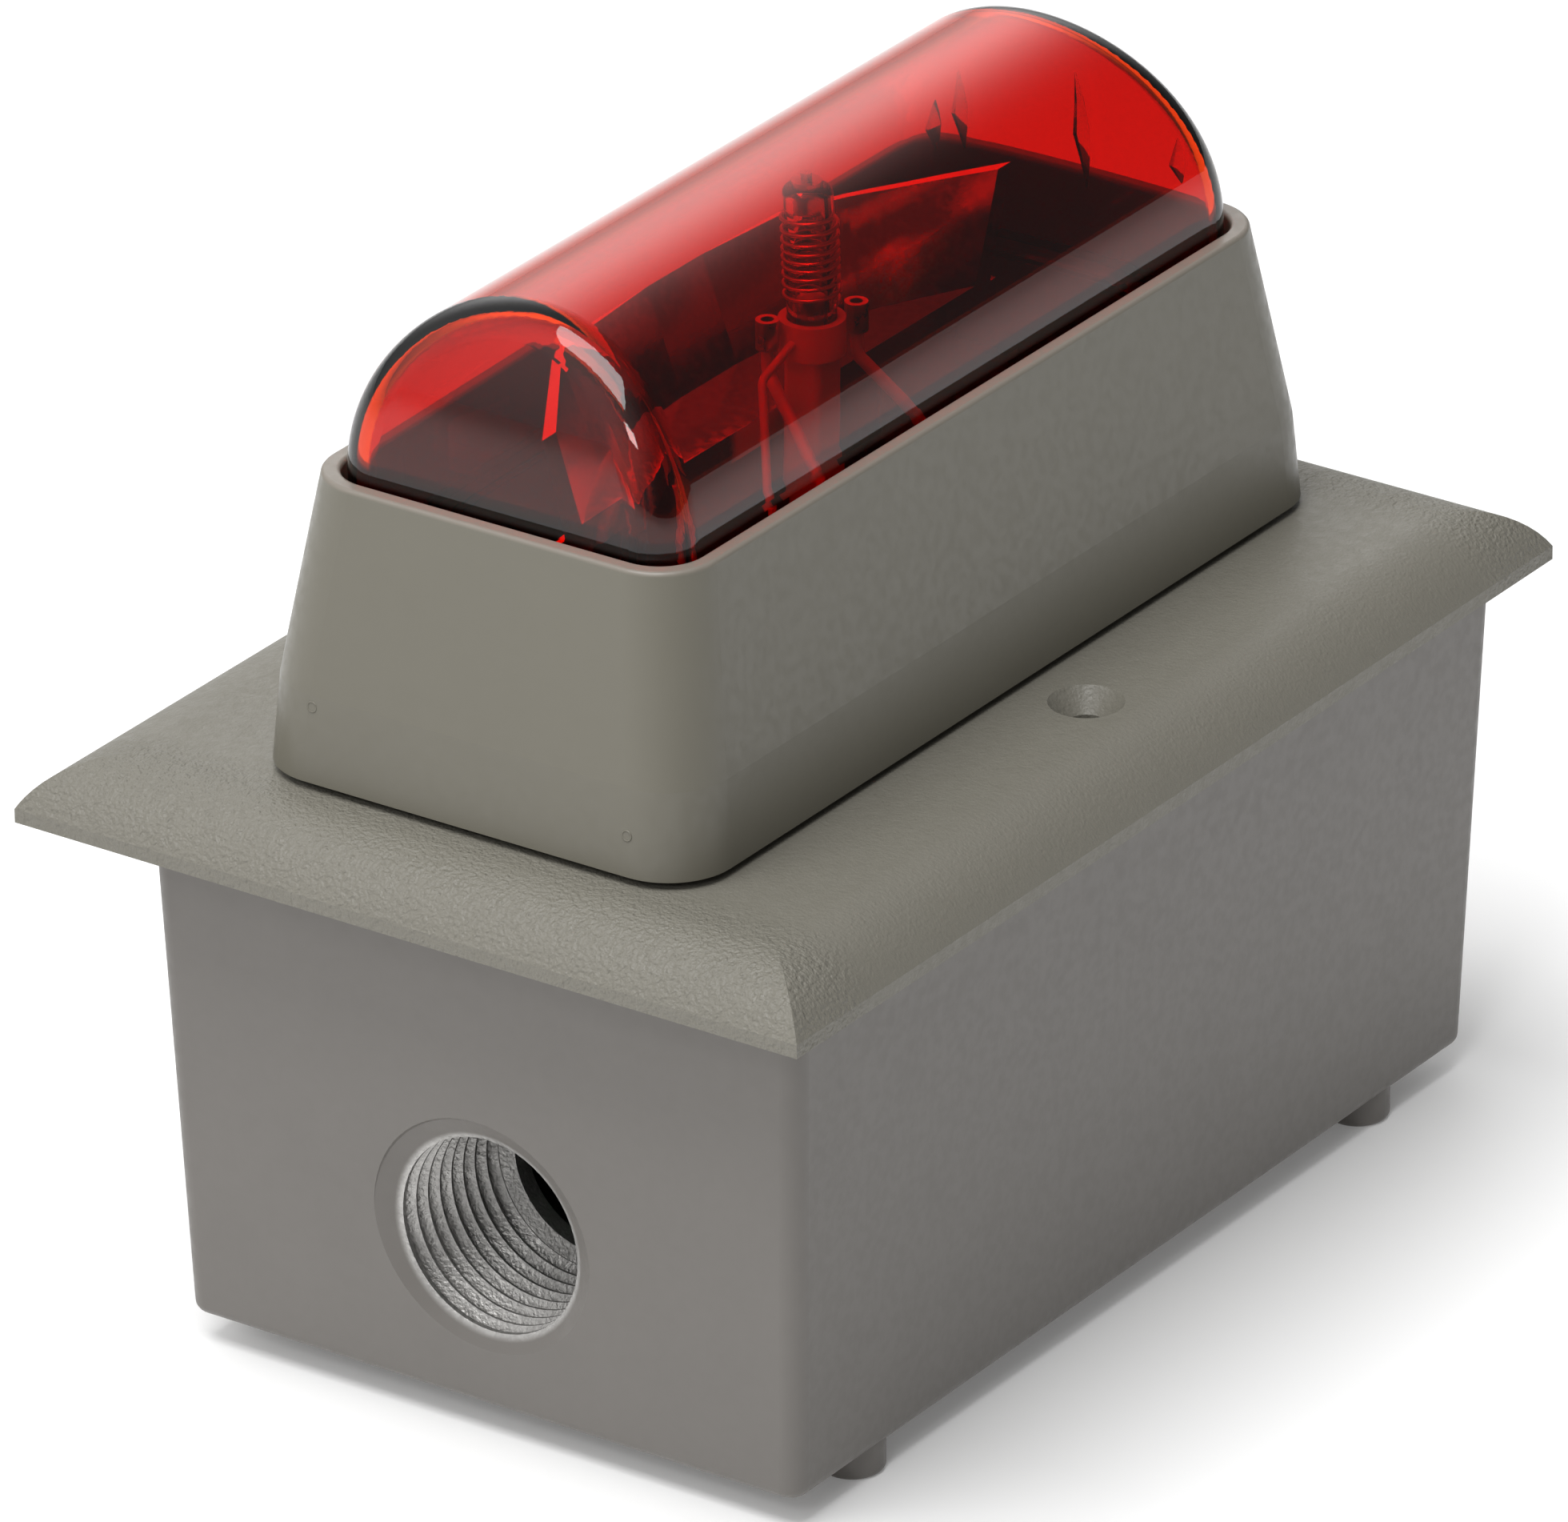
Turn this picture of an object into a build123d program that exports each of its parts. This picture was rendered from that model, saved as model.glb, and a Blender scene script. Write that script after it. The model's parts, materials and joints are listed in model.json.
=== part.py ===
"""Weatherproof horn strobe: a cast backbox, a moulded cover with its bezel, and a red lens over the flash tube.

Millimetres. The box lies on its four feet with the lens upwards (+Z). X runs across the short side, Y along
the long side, and the conduit entry faces -Y. The origin is on the feet plane, under the middle of the object.
"""

import math
import os

from build123d import *

# Backbox: a drafted aluminium casting of single-gang size. BOX_X and BOX_Y are its centre: the cover
# overhangs it more at the conduit end
FOOT_HEIGHT = 3.0
FOOT_RADIUS = 3.1
FOOT_X, FOOT_Y = 30.5, 42.0
BOX_X, BOX_Y = 1.4, 3.85
BOX_WIDTH, BOX_LENGTH = 67.6, 111.2
BOX_DEPTH = 51.0
BOX_DRAFT = 1.85
BOX_WALL = 3.0
BOX_TOP = FOOT_HEIGHT + BOX_DEPTH
FOOT_HOLE_RADIUS, FOOT_HOLE_DEPTH = 1.4, 10.0

# Conduit entry: a half-inch pipe thread in the short end
ENTRY_HEIGHT = 20.2
THREAD_PITCH = 1.814
THREAD_TURNS = 8
THREAD_MINOR_RADIUS = 9.65
THREAD_MAJOR_RADIUS = 10.7
ENTRY_MOUTH_RADIUS = 11.9
MOUTH_DEPTH = 1.3
HUB_RADIUS = 14.4
STOP_RADIUS = 8.3
STOP_LENGTH = 1.9

# Cover plate: bullnosed flange that overhangs the box
COVER_GAP = 0.1
COVER_BOTTOM = BOX_TOP + COVER_GAP
COVER_WIDTH, COVER_LENGTH = 85.5, 123.8
COVER_THICKNESS = 6.0
COVER_EDGE = 1.35
COVER_NOSE = 7.7
COVER_TOP = COVER_BOTTOM + COVER_THICKNESS
COVER_WEB = 3.0
WEB_BOTTOM = COVER_TOP - COVER_WEB
COVER_SCREW_X, COVER_SCREW_Y = 30.6, 2.0
COVER_SCREW_RADIUS = 1.7
COUNTERSINK_RADIUS = 3.55
CLAMP_X, CLAMP_Y = 17.5, 45.2
GASKET_OUTER = (70.9, 114.5, 1.8)
GASKET_INNER = (68.7, 112.3, 0.9)

# Bezel: tapered housing with a kink near its foot, standing clear of the cover so that sound can leave
BEZEL_GAP = 0.8
BEZEL_BOTTOM = COVER_TOP + BEZEL_GAP
KINK_HEIGHT = 8.4
BEZEL_KINK = BEZEL_BOTTOM + KINK_HEIGHT
RIM_TOP = 88.8
BEZEL_FOOT = (48.6, 103.8, 6.5)
BEZEL_WAIST = (47.4, 102.5, 6.4)
BEZEL_RIM = (41.6, 96.0, 6.0)
BEZEL_WALL = 2.0
MOUTH = (38.2, 92.6, 4.4)
LEDGE = RIM_TOP - 8.0

# Lens: a clear red half-barrel with a flange trapped under the bezel's ledge
LENS_WIDTH, LENS_LENGTH = 37.2, 92.0
LENS_WALL = 2.0
LENS_BOTTOM = LEDGE - 2.3
LENS_EDGE_RADIUS = 4.4
LENS_END_BOW = 38.0
LENS_FLANGE = 0.85
FLANGE_THICKNESS = 1.5

# Strobe insert
CHASSIS_BOTTOM = COVER_TOP + 6.8
CHASSIS_THICKNESS = 1.6
CHASSIS_TOP = CHASSIS_BOTTOM + CHASSIS_THICKNESS
TUBE_X = 1.4
TUBE_RADIUS = 2.3
TUBE_BOTTOM, TUBE_TOP = 90.6, 103.8
POST_TOP = 91.4
REFLECTOR_FLOOR = 81.6
REFLECTOR_TOP = 92.6
REFLECTOR_SHEET = 0.6
REFLECTOR_FRONT = -1.4

# Circuit board, hung under the cover
BOARD_TOP = 40.0
BOARD_THICKNESS = 1.6
BOARD_BOTTOM = BOARD_TOP - BOARD_THICKNESS
BOARD_WIDTH, BOARD_LENGTH = 58.0, 99.0
BOARD_SCREW_X, BOARD_SCREW_Y = 25.6, 45.5
TERMINAL_Y = -24.0

# Horn: an electromagnet driving a steel diaphragm under the sound port
HORN_Y = 24.0
HORN_RADIUS = 23.0
HORN_FLOOR = 43.0
DIAPHRAGM_RADIUS = 19.5
DIAPHRAGM_BOTTOM = 53.4
HORN_EAR_RADIUS = 25.4
HORN_EAR_ANGLES = (30, 150, 270)
SOUND_PORT_RADIUS = 12.0

FOUR_CLAMPS = [(x, y) for x in (-CLAMP_X, CLAMP_X) for y in (-CLAMP_Y, CLAMP_Y)]
FOUR_BOARD_SCREWS = [
    (x, y) for x in (-BOARD_SCREW_X, BOARD_SCREW_X) for y in (-BOARD_SCREW_Y, BOARD_SCREW_Y)
]
FOUR_FEET = [(BOX_X + x, BOX_Y + y) for x in (-FOOT_X, FOOT_X) for y in (-FOOT_Y, FOOT_Y)]
COVER_SCREWS = [(-COVER_SCREW_X, COVER_SCREW_Y), (COVER_SCREW_X, COVER_SCREW_Y)]
GROUND_PLACE = (BOX_X + 11.2, BOX_Y + 22.7)


def keep(piece, label):
    """Labels a finished piece and writes its STEP file."""
    piece.part.label = label
    export_step(piece.part, f"parts/{label}.step")


def upright(z):
    """The horizontal plane at height z."""
    return Plane.XY.offset(z)


def horn_ears():
    """The centres of the horn's three fixing ears."""
    angles = [math.radians(a) for a in HORN_EAR_ANGLES]
    return [(HORN_EAR_RADIUS * math.cos(a), HORN_Y + HORN_EAR_RADIUS * math.sin(a)) for a in angles]


def post(x, y, low, high, radius):
    """Adds an upright round post to the part under construction."""
    with BuildSketch(upright(low)) as section:
        with Locations((x, y)):
            Circle(radius)
    extrude(section.sketch, amount=high - low)


def drill(x, y, low, high, radius):
    """Cuts an upright round hole in the part under construction."""
    with BuildSketch(upright(low)) as section:
        with Locations((x, y)):
            Circle(radius)
    extrude(section.sketch, amount=high - low, mode=Mode.SUBTRACT)


def slab(x, y, low, size, mode=Mode.ADD):
    """Adds or cuts a block, size (x, y, z), standing on height low and centred on (x, y)."""
    with BuildSketch(upright(low)) as section:
        with Locations((x, y)):
            Rectangle(size[0], size[1])
    extrude(section.sketch, amount=size[2], mode=mode)


def ring_plate(outer, inner, low, thickness, centre=(0, 0), mode=Mode.ADD):
    """Adds or cuts a flat rounded-rectangle ring; outer and inner are (width, length, corner radius)."""
    with BuildSketch(upright(low)) as section:
        with Locations(centre):
            RectangleRounded(*outer)
            RectangleRounded(*inner, mode=Mode.SUBTRACT)
    extrude(section.sketch, amount=thickness, mode=mode)


def box_section(z, inset=0.0):
    """Width, length and corner radius of the drafted box at height z."""
    grow = 2 * (z - FOOT_HEIGHT) * BOX_DRAFT / BOX_DEPTH
    return (BOX_WIDTH + grow - 2 * inset, BOX_LENGTH + grow - 2 * inset, max(1.9 - inset * 0.4, 0.8))


def loft_sections(sections, mode=Mode.ADD, centre=(0, 0)):
    """Lofts straight-sided between rounded rectangles given as (z, (width, length, radius))."""
    outlines = []
    for z, size in sections:
        with BuildSketch(upright(z)) as section:
            with Locations(centre):
                RectangleRounded(*size)
        outlines.append(section.sketch)
    loft(outlines, ruled=True, mode=mode)


def make_backbox():
    with BuildPart() as backbox:
        middle = (BOX_X, BOX_Y)
        loft_sections([(FOOT_HEIGHT, box_section(FOOT_HEIGHT)), (BOX_TOP, box_section(BOX_TOP))], centre=middle)
        fillet(backbox.faces().sort_by(Axis.Z)[0].edges(), 1.2)
        for x, y in FOUR_FEET:
            with BuildSketch(upright(0)):
                with Locations((x, y)):
                    Circle(FOOT_RADIUS)
            extrude(amount=FOOT_HEIGHT + 1.5)
        fillet(backbox.faces().group_by(Axis.Z)[0].edges(), 0.7)
        floor = FOOT_HEIGHT + BOX_WALL
        loft_sections(
            [(floor, box_section(floor, BOX_WALL)), (BOX_TOP, box_section(BOX_TOP, BOX_WALL))],
            mode=Mode.SUBTRACT,
            centre=middle,
        )
        for x, y in COVER_SCREWS:
            wall_x = BOX_X + math.copysign(BOX_WIDTH / 2 - 0.6, x)
            post(x, y, 32.0, BOX_TOP, 2.6)
            slab((x + wall_x) / 2, y, 32.0, (abs(wall_x - x), 5.2, BOX_TOP - 32.0))
        for x, y in FOUR_FEET:
            post(x, y, floor - 1.0, floor + 7.0, 3.0)
        post(*GROUND_PLACE, floor - 1.0, floor + 3.0, 4.5)
        with BuildSketch(Plane.XZ.offset(-hub_inner_y())):
            with Locations((BOX_X, ENTRY_HEIGHT)):
                Circle(HUB_RADIUS)
        extrude(amount=16.0)
        cut_conduit_entry()
        for x, y in COVER_SCREWS:
            drill(x, y, BOX_TOP - 16.0, BOX_TOP, 1.4)
        for x, y in FOUR_FEET:
            drill(x, y, 0.0, FOOT_HOLE_DEPTH, FOOT_HOLE_RADIUS)
        drill(*GROUND_PLACE, floor - 1.5, floor + 3.0, 1.9)
    keep(backbox, "backbox")


def entry_face_y():
    """Where the axis of the entry meets the drafted end wall."""
    return BOX_Y - BOX_LENGTH / 2 - BOX_DRAFT * (ENTRY_HEIGHT - FOOT_HEIGHT) / BOX_DEPTH


def thread_end_y():
    """The inner end of the threaded length."""
    return entry_face_y() + MOUTH_DEPTH + 0.35 + THREAD_TURNS * THREAD_PITCH


def hub_inner_y():
    """The hub's inner end, where the stop lip finishes."""
    return thread_end_y() + 0.6 + STOP_LENGTH


def cut_conduit_entry():
    """Cuts the mouth, the thread's grooves and the stop lip along the axis of the entry."""
    face_y, thread_end = entry_face_y(), thread_end_y()
    first_groove = face_y + MOUTH_DEPTH + 0.35
    axis = Axis((BOX_X, 0, ENTRY_HEIGHT), (0, 1, 0))
    side_plane = Plane.YZ.offset(BOX_X)
    with BuildSketch(side_plane) as profile:
        with BuildLine():
            Polyline(
                (face_y - 2.0, ENTRY_HEIGHT),
                (face_y - 2.0, ENTRY_HEIGHT + ENTRY_MOUTH_RADIUS + 1.2),
                (face_y, ENTRY_HEIGHT + ENTRY_MOUTH_RADIUS),
                (face_y + MOUTH_DEPTH, ENTRY_HEIGHT + THREAD_MINOR_RADIUS),
                (thread_end, ENTRY_HEIGHT + THREAD_MINOR_RADIUS),
                (thread_end + 0.6, ENTRY_HEIGHT + STOP_RADIUS),
                (hub_inner_y() + 0.5, ENTRY_HEIGHT + STOP_RADIUS),
                (hub_inner_y() + 0.5, ENTRY_HEIGHT),
                close=True,
            )
        make_face()
    revolve(profile.sketch, axis=axis, mode=Mode.SUBTRACT)
    half = 0.78
    for turn in range(THREAD_TURNS):
        y = first_groove + (turn + 0.5) * THREAD_PITCH
        with BuildSketch(side_plane) as groove:
            with BuildLine():
                Polyline(
                    (y - half, ENTRY_HEIGHT + THREAD_MINOR_RADIUS - 0.2),
                    (y - half, ENTRY_HEIGHT + THREAD_MINOR_RADIUS),
                    (y - 0.1, ENTRY_HEIGHT + THREAD_MAJOR_RADIUS),
                    (y + 0.1, ENTRY_HEIGHT + THREAD_MAJOR_RADIUS),
                    (y + half, ENTRY_HEIGHT + THREAD_MINOR_RADIUS),
                    (y + half, ENTRY_HEIGHT + THREAD_MINOR_RADIUS - 0.2),
                    close=True,
                )
            make_face()
        revolve(groove.sketch, axis=axis, mode=Mode.SUBTRACT)


def make_ground_screw():
    """Hex washer-head earthing screw in the boss on the box floor."""
    seat = FOOT_HEIGHT + BOX_WALL + 3.0
    with BuildPart() as ground_screw:
        post(*GROUND_PLACE, seat - 4.0, seat, 1.85)
        post(*GROUND_PLACE, seat, seat + 0.9, 4.3)
        with BuildSketch(upright(seat + 0.9)):
            with Locations(GROUND_PLACE):
                RegularPolygon(3.3, 6)
        extrude(amount=2.4)
        slab(*GROUND_PLACE, seat + 2.3, (7.0, 0.9, 1.2), mode=Mode.SUBTRACT)
    keep(ground_screw, "ground_screw")


def nose_profile(half_width):
    """Flange section: a short upright edge, then a round nose that meets the flat top smoothly."""
    edge_top = COVER_BOTTOM + COVER_EDGE
    flat = half_width - COVER_NOSE
    with BuildLine() as outline:
        Polyline(
            (-half_width, edge_top),
            (-half_width, COVER_BOTTOM),
            (half_width, COVER_BOTTOM),
            (half_width, edge_top),
        )
        TangentArc((flat, COVER_TOP), (half_width, edge_top), tangent=(1, 0))
        TangentArc((-flat, COVER_TOP), (-half_width, edge_top), tangent=(-1, 0))
        Line((-flat, COVER_TOP), (flat, COVER_TOP))
    make_face(outline.edges())


def make_cover_plate():
    with BuildPart() as cover_plate:
        with BuildSketch(Plane.XZ):
            nose_profile(COVER_WIDTH / 2)
        extrude(amount=COVER_LENGTH / 2, both=True)
        with BuildSketch(Plane.YZ):
            nose_profile(COVER_LENGTH / 2)
        extrude(amount=COVER_WIDTH / 2, both=True, mode=Mode.INTERSECT)
        with BuildSketch(upright(COVER_BOTTOM)):
            with Locations((BOX_X, BOX_Y)):
                RectangleRounded(64.0, 107.0, 4.0)
        extrude(amount=COVER_THICKNESS - COVER_WEB, mode=Mode.SUBTRACT)
        ring_plate(GASKET_OUTER, GASKET_INNER, COVER_BOTTOM, 1.0, (BOX_X, BOX_Y), Mode.SUBTRACT)
        for x, y in COVER_SCREWS:
            post(x, y, COVER_BOTTOM, WEB_BOTTOM + 0.5, 2.25)
        for x, y in FOUR_BOARD_SCREWS:
            post(x, y, BOARD_TOP, WEB_BOTTOM + 0.5, 3.2)
        with BuildSketch(upright(WEB_BOTTOM - 1.0)):
            with Locations((0, -24.0)):
                RectangleRounded(30.0, 38.0, 3.0)
            with Locations((0, HORN_Y)):
                Circle(SOUND_PORT_RADIUS)
        extrude(amount=COVER_WEB + 2.0, mode=Mode.SUBTRACT)
        for x, y in FOUR_CLAMPS:
            drill(x, y, WEB_BOTTOM - 1.0, COVER_TOP + 1.0, 1.7)
        for x, y in FOUR_BOARD_SCREWS:
            drill(x, y, BOARD_TOP, BOARD_TOP + 11.0, 1.25)
        for x, y in horn_ears():
            drill(x, y, WEB_BOTTOM, WEB_BOTTOM + 2.4, 1.2)
        with Locations(*[(x, y, COVER_TOP) for x, y in COVER_SCREWS]):
            CounterSinkHole(COVER_SCREW_RADIUS, COUNTERSINK_RADIUS, counter_sink_angle=82)
    keep(cover_plate, "cover_plate")


def make_cover_gasket():
    with BuildPart() as cover_gasket:
        ring_plate(GASKET_OUTER, GASKET_INNER, COVER_BOTTOM, 1.0, (BOX_X, BOX_Y))
    keep(cover_gasket, "cover_gasket")


def shrunk(section, wall):
    """A rounded-rectangle section pulled in by the wall thickness."""
    width, length, radius = section
    return (width - 2 * wall, length - 2 * wall, radius - wall / 2)


def bezel_section(z):
    """The bezel's outer section at height z, above its kink."""
    share = (z - BEZEL_KINK) / (RIM_TOP - BEZEL_KINK)
    return tuple(a + (b - a) * share for a, b in zip(BEZEL_WAIST, BEZEL_RIM))


def make_bezel():
    with BuildPart() as hollow:
        loft_sections(
            [(BEZEL_BOTTOM, shrunk(BEZEL_FOOT, BEZEL_WALL)), (BEZEL_KINK, shrunk(BEZEL_WAIST, BEZEL_WALL))]
        )
        loft_sections(
            [(BEZEL_KINK, shrunk(BEZEL_WAIST, BEZEL_WALL)), (LEDGE, shrunk(bezel_section(LEDGE), BEZEL_WALL))]
        )
        for x, y in FOUR_CLAMPS:
            drill(x, y, CHASSIS_TOP, LEDGE - 3.0, 3.6)
        with BuildSketch(upright(LEDGE)):
            RectangleRounded(*MOUTH)
        extrude(amount=RIM_TOP - LEDGE)
    with BuildPart() as bezel:
        loft_sections([(BEZEL_BOTTOM, BEZEL_FOOT), (BEZEL_KINK, BEZEL_WAIST)])
        loft_sections([(BEZEL_KINK, BEZEL_WAIST), (RIM_TOP, BEZEL_RIM)])
        add(hollow.part, mode=Mode.SUBTRACT)
        for x, y in FOUR_CLAMPS:
            drill(x, y, CHASSIS_TOP, CHASSIS_TOP + 7.2, 1.25)
        fillet(bezel.faces().sort_by(Axis.Z)[-1].edges(), 0.45)
    keep(bezel, "bezel")


def make_clamp_screws():
    """Long pan-head screws that hold cover, chassis and bezel together from below."""
    with BuildPart() as clamp_screws:
        for x, y in FOUR_CLAMPS:
            post(x, y, WEB_BOTTOM - 2.0, WEB_BOTTOM, 2.9)
            post(x, y, WEB_BOTTOM, CHASSIS_TOP + 6.5, 1.2)
            slab(x, y, WEB_BOTTOM - 2.0, (3.6, 0.8, 1.0), mode=Mode.SUBTRACT)
            slab(x, y, WEB_BOTTOM - 2.0, (0.8, 3.6, 1.0), mode=Mode.SUBTRACT)
    keep(clamp_screws, "clamp_screws")


def barrel(width, length, bottom, edge_radius):
    """A solid half-barrel: upright walls, a round crown, bowed ends and rounded end edges."""
    crown = RIM_TOP + width / 2
    with BuildPart() as solid:
        with BuildSketch(Plane.XZ):
            with BuildLine():
                Polyline((-width / 2, RIM_TOP), (-width / 2, bottom), (width / 2, bottom), (width / 2, RIM_TOP))
                ThreePointArc((width / 2, RIM_TOP), (0, crown), (-width / 2, RIM_TOP))
            make_face()
        extrude(amount=length / 2, both=True)
        bow = LENS_END_BOW - math.sqrt(LENS_END_BOW**2 - (crown + 0.5 - RIM_TOP) ** 2)
        with BuildSketch(Plane.YZ):
            with BuildLine():
                Polyline((-length / 2, RIM_TOP), (-length / 2, bottom), (length / 2, bottom), (length / 2, RIM_TOP))
                TangentArc((length / 2, RIM_TOP), (length / 2 - bow, crown + 0.5), tangent=(0, 1))
                Line((length / 2 - bow, crown + 0.5), (-length / 2 + bow, crown + 0.5))
                TangentArc((-length / 2, RIM_TOP), (-length / 2 + bow, crown + 0.5), tangent=(0, 1))
            make_face()
        extrude(amount=width, both=True, mode=Mode.INTERSECT)
        ends = [e for e in solid.edges() if abs(abs(e.center().Y) - length / 2) < 9.0 and e.center().Z > bottom + 0.1]
        rounded = [e for e in ends if abs(e.center().X) > 0.1 or e.center().Z > RIM_TOP + 1.0]
        fillet(rounded, edge_radius)
    return solid.part


def make_lens():
    outer = barrel(LENS_WIDTH, LENS_LENGTH, LENS_BOTTOM, LENS_EDGE_RADIUS)
    inner = barrel(
        LENS_WIDTH - 2 * LENS_WALL,
        LENS_LENGTH - 2 * LENS_WALL,
        LENS_BOTTOM,
        LENS_EDGE_RADIUS - LENS_WALL,
    )
    with BuildPart() as lens:
        add(outer)
        with BuildSketch(upright(LENS_BOTTOM)):
            RectangleRounded(LENS_WIDTH + 2 * LENS_FLANGE, LENS_LENGTH + 2 * LENS_FLANGE, 4.8)
        extrude(amount=FLANGE_THICKNESS)
        add(inner, mode=Mode.SUBTRACT)
    keep(lens, "lens")


def make_lens_gasket():
    with BuildPart() as lens_gasket:
        size = (LENS_WIDTH + 2 * LENS_FLANGE, LENS_LENGTH + 2 * LENS_FLANGE, 4.8)
        bore = (LENS_WIDTH + 0.2, LENS_LENGTH + 0.2, 4.2)
        low = LENS_BOTTOM + FLANGE_THICKNESS
        ring_plate(size, bore, low, LEDGE - low)
    keep(lens_gasket, "lens_gasket")


def make_strobe_chassis():
    wall_top = LENS_BOTTOM
    with BuildPart() as strobe_chassis:
        with BuildSketch(upright(CHASSIS_BOTTOM)):
            RectangleRounded(41.0, 96.4, 4.0)
        extrude(amount=CHASSIS_THICKNESS)
        for x, y in FOUR_CLAMPS:
            post(x, y, COVER_TOP, CHASSIS_BOTTOM + 0.2, 3.2)
        for side in (-1, 1):
            slab(side * 18.0, 0, CHASSIS_TOP, (1.6, 78.0, wall_top - CHASSIS_TOP))
            slab(0, side * 45.1, CHASSIS_TOP, (25.0, 1.6, wall_top - CHASSIS_TOP))
            post(-7.0, side * 20.0, CHASSIS_TOP, REFLECTOR_FLOOR, 2.0)
        for x, y in FOUR_CLAMPS:
            drill(x, y, COVER_TOP, CHASSIS_TOP, 1.5)
        for y in (-15.0, -9.0, 9.0):
            drill(7.5, y, CHASSIS_BOTTOM, CHASSIS_TOP, 1.6)
    keep(strobe_chassis, "strobe_chassis")


def scoop(inset, floor, front):
    """Faceted dish behind the tube, from a small floor outline to a wider top outline."""
    low = [(front, 33.0), (-7.6, 20.5), (-9.8, 14.5), (-10.6, 5.0)]
    high = [(front, 36.4), (-10.4, 22.4), (-13.5, 16.0), (-14.7, 5.0)]
    outlines = []
    for z, outline in ((floor, low), (REFLECTOR_TOP, high)):
        right = [(max(x + inset, -14.0) if i else x, y - inset) for i, (x, y) in enumerate(outline)]
        left = [(x, -y) for x, y in reversed(right)]
        with BuildSketch(upright(z)) as section:
            with BuildLine():
                Polyline(*right, *left, close=True)
            make_face()
        outlines.append(section.sketch)
    loft(outlines, ruled=True)


def make_reflector():
    with BuildPart() as inside:
        scoop(REFLECTOR_SHEET, REFLECTOR_FLOOR + REFLECTOR_SHEET, REFLECTOR_FRONT + 1.0)
    with BuildPart() as reflector:
        scoop(0.0, REFLECTOR_FLOOR, REFLECTOR_FRONT)
        add(inside.part, mode=Mode.SUBTRACT)
        slab(REFLECTOR_FRONT - 0.3, 0, REFLECTOR_FLOOR - 2.4, (0.6, 68.0, 2.6))
    keep(reflector, "reflector")


def make_tube_post():
    with BuildPart() as tube_post:
        with BuildSketch(upright(CHASSIS_TOP)):
            with Locations((TUBE_X, 0)):
                RectangleRounded(9.0, 9.0, 1.5)
        extrude(amount=1.4)
        with BuildSketch(upright(CHASSIS_TOP)):
            with Locations((TUBE_X, 0)):
                RectangleRounded(4.0, 4.2, 0.8)
        extrude(amount=POST_TOP - 3.0 - CHASSIS_TOP)
        post(TUBE_X, 0, POST_TOP - 3.4, POST_TOP, 3.1)
        drill(TUBE_X, 0, TUBE_BOTTOM - 0.9, POST_TOP, TUBE_RADIUS + 0.05)
    keep(tube_post, "tube_post")


def make_flash_tube():
    """Glass envelope, open at its ends, where the electrodes are sealed in."""
    with BuildPart() as flash_tube:
        post(TUBE_X, 0, TUBE_BOTTOM, TUBE_TOP, TUBE_RADIUS)
        fillet(flash_tube.edges(), 0.7)
        drill(TUBE_X, 0, TUBE_BOTTOM, TUBE_TOP, 1.45)
    keep(flash_tube, "flash_tube")


def make_tube_electrodes():
    with BuildPart() as tube_electrodes:
        post(TUBE_X, 0, TUBE_BOTTOM - 0.8, TUBE_BOTTOM + 2.8, 1.4)
        post(TUBE_X, 0, TUBE_TOP - 2.2, TUBE_TOP + 0.5, 1.4)
        post(TUBE_X, 0, TUBE_TOP + 0.5, TUBE_TOP + 1.1, 0.5)
    keep(tube_electrodes, "tube_electrodes")


def wire(points, radius, bend):
    """Adds a round wire along straight runs joined by arcs of the given bend radius."""
    with BuildLine() as path:
        FilletPolyline(*points, radius=bend)
    line = path.line
    with BuildSketch(Plane(origin=line @ 0, z_dir=line % 0)) as section:
        Circle(radius)
    sweep(section.sketch, path=line)


def make_trigger_wire():
    """Turns of fine wire round the envelope, joined by a riser."""
    turns = 7
    low, high = TUBE_BOTTOM + 2.4, TUBE_TOP - 2.4
    with BuildPart() as trigger_wire:
        for i in range(turns):
            z = low + (high - low) * i / (turns - 1)
            with Locations((TUBE_X, 0, z)):
                Torus(TUBE_RADIUS + 0.27, 0.22)
        post(TUBE_X - TUBE_RADIUS - 0.27, 0, low, high, 0.2)
    keep(trigger_wire, "trigger_wire")


def make_tube_clips():
    """Two sprung metal eyes at the foot of the tube that take its leads."""
    with BuildPart() as tube_clips:
        for side in (-1, 1):
            x, y = TUBE_X + side * 2.2, side * 3.9
            post(x, y, POST_TOP - 2.2, POST_TOP + 0.6, 1.1)
            drill(x, y, POST_TOP - 1.0, POST_TOP + 0.6, 0.6)
    keep(tube_clips, "tube_clips")


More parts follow.
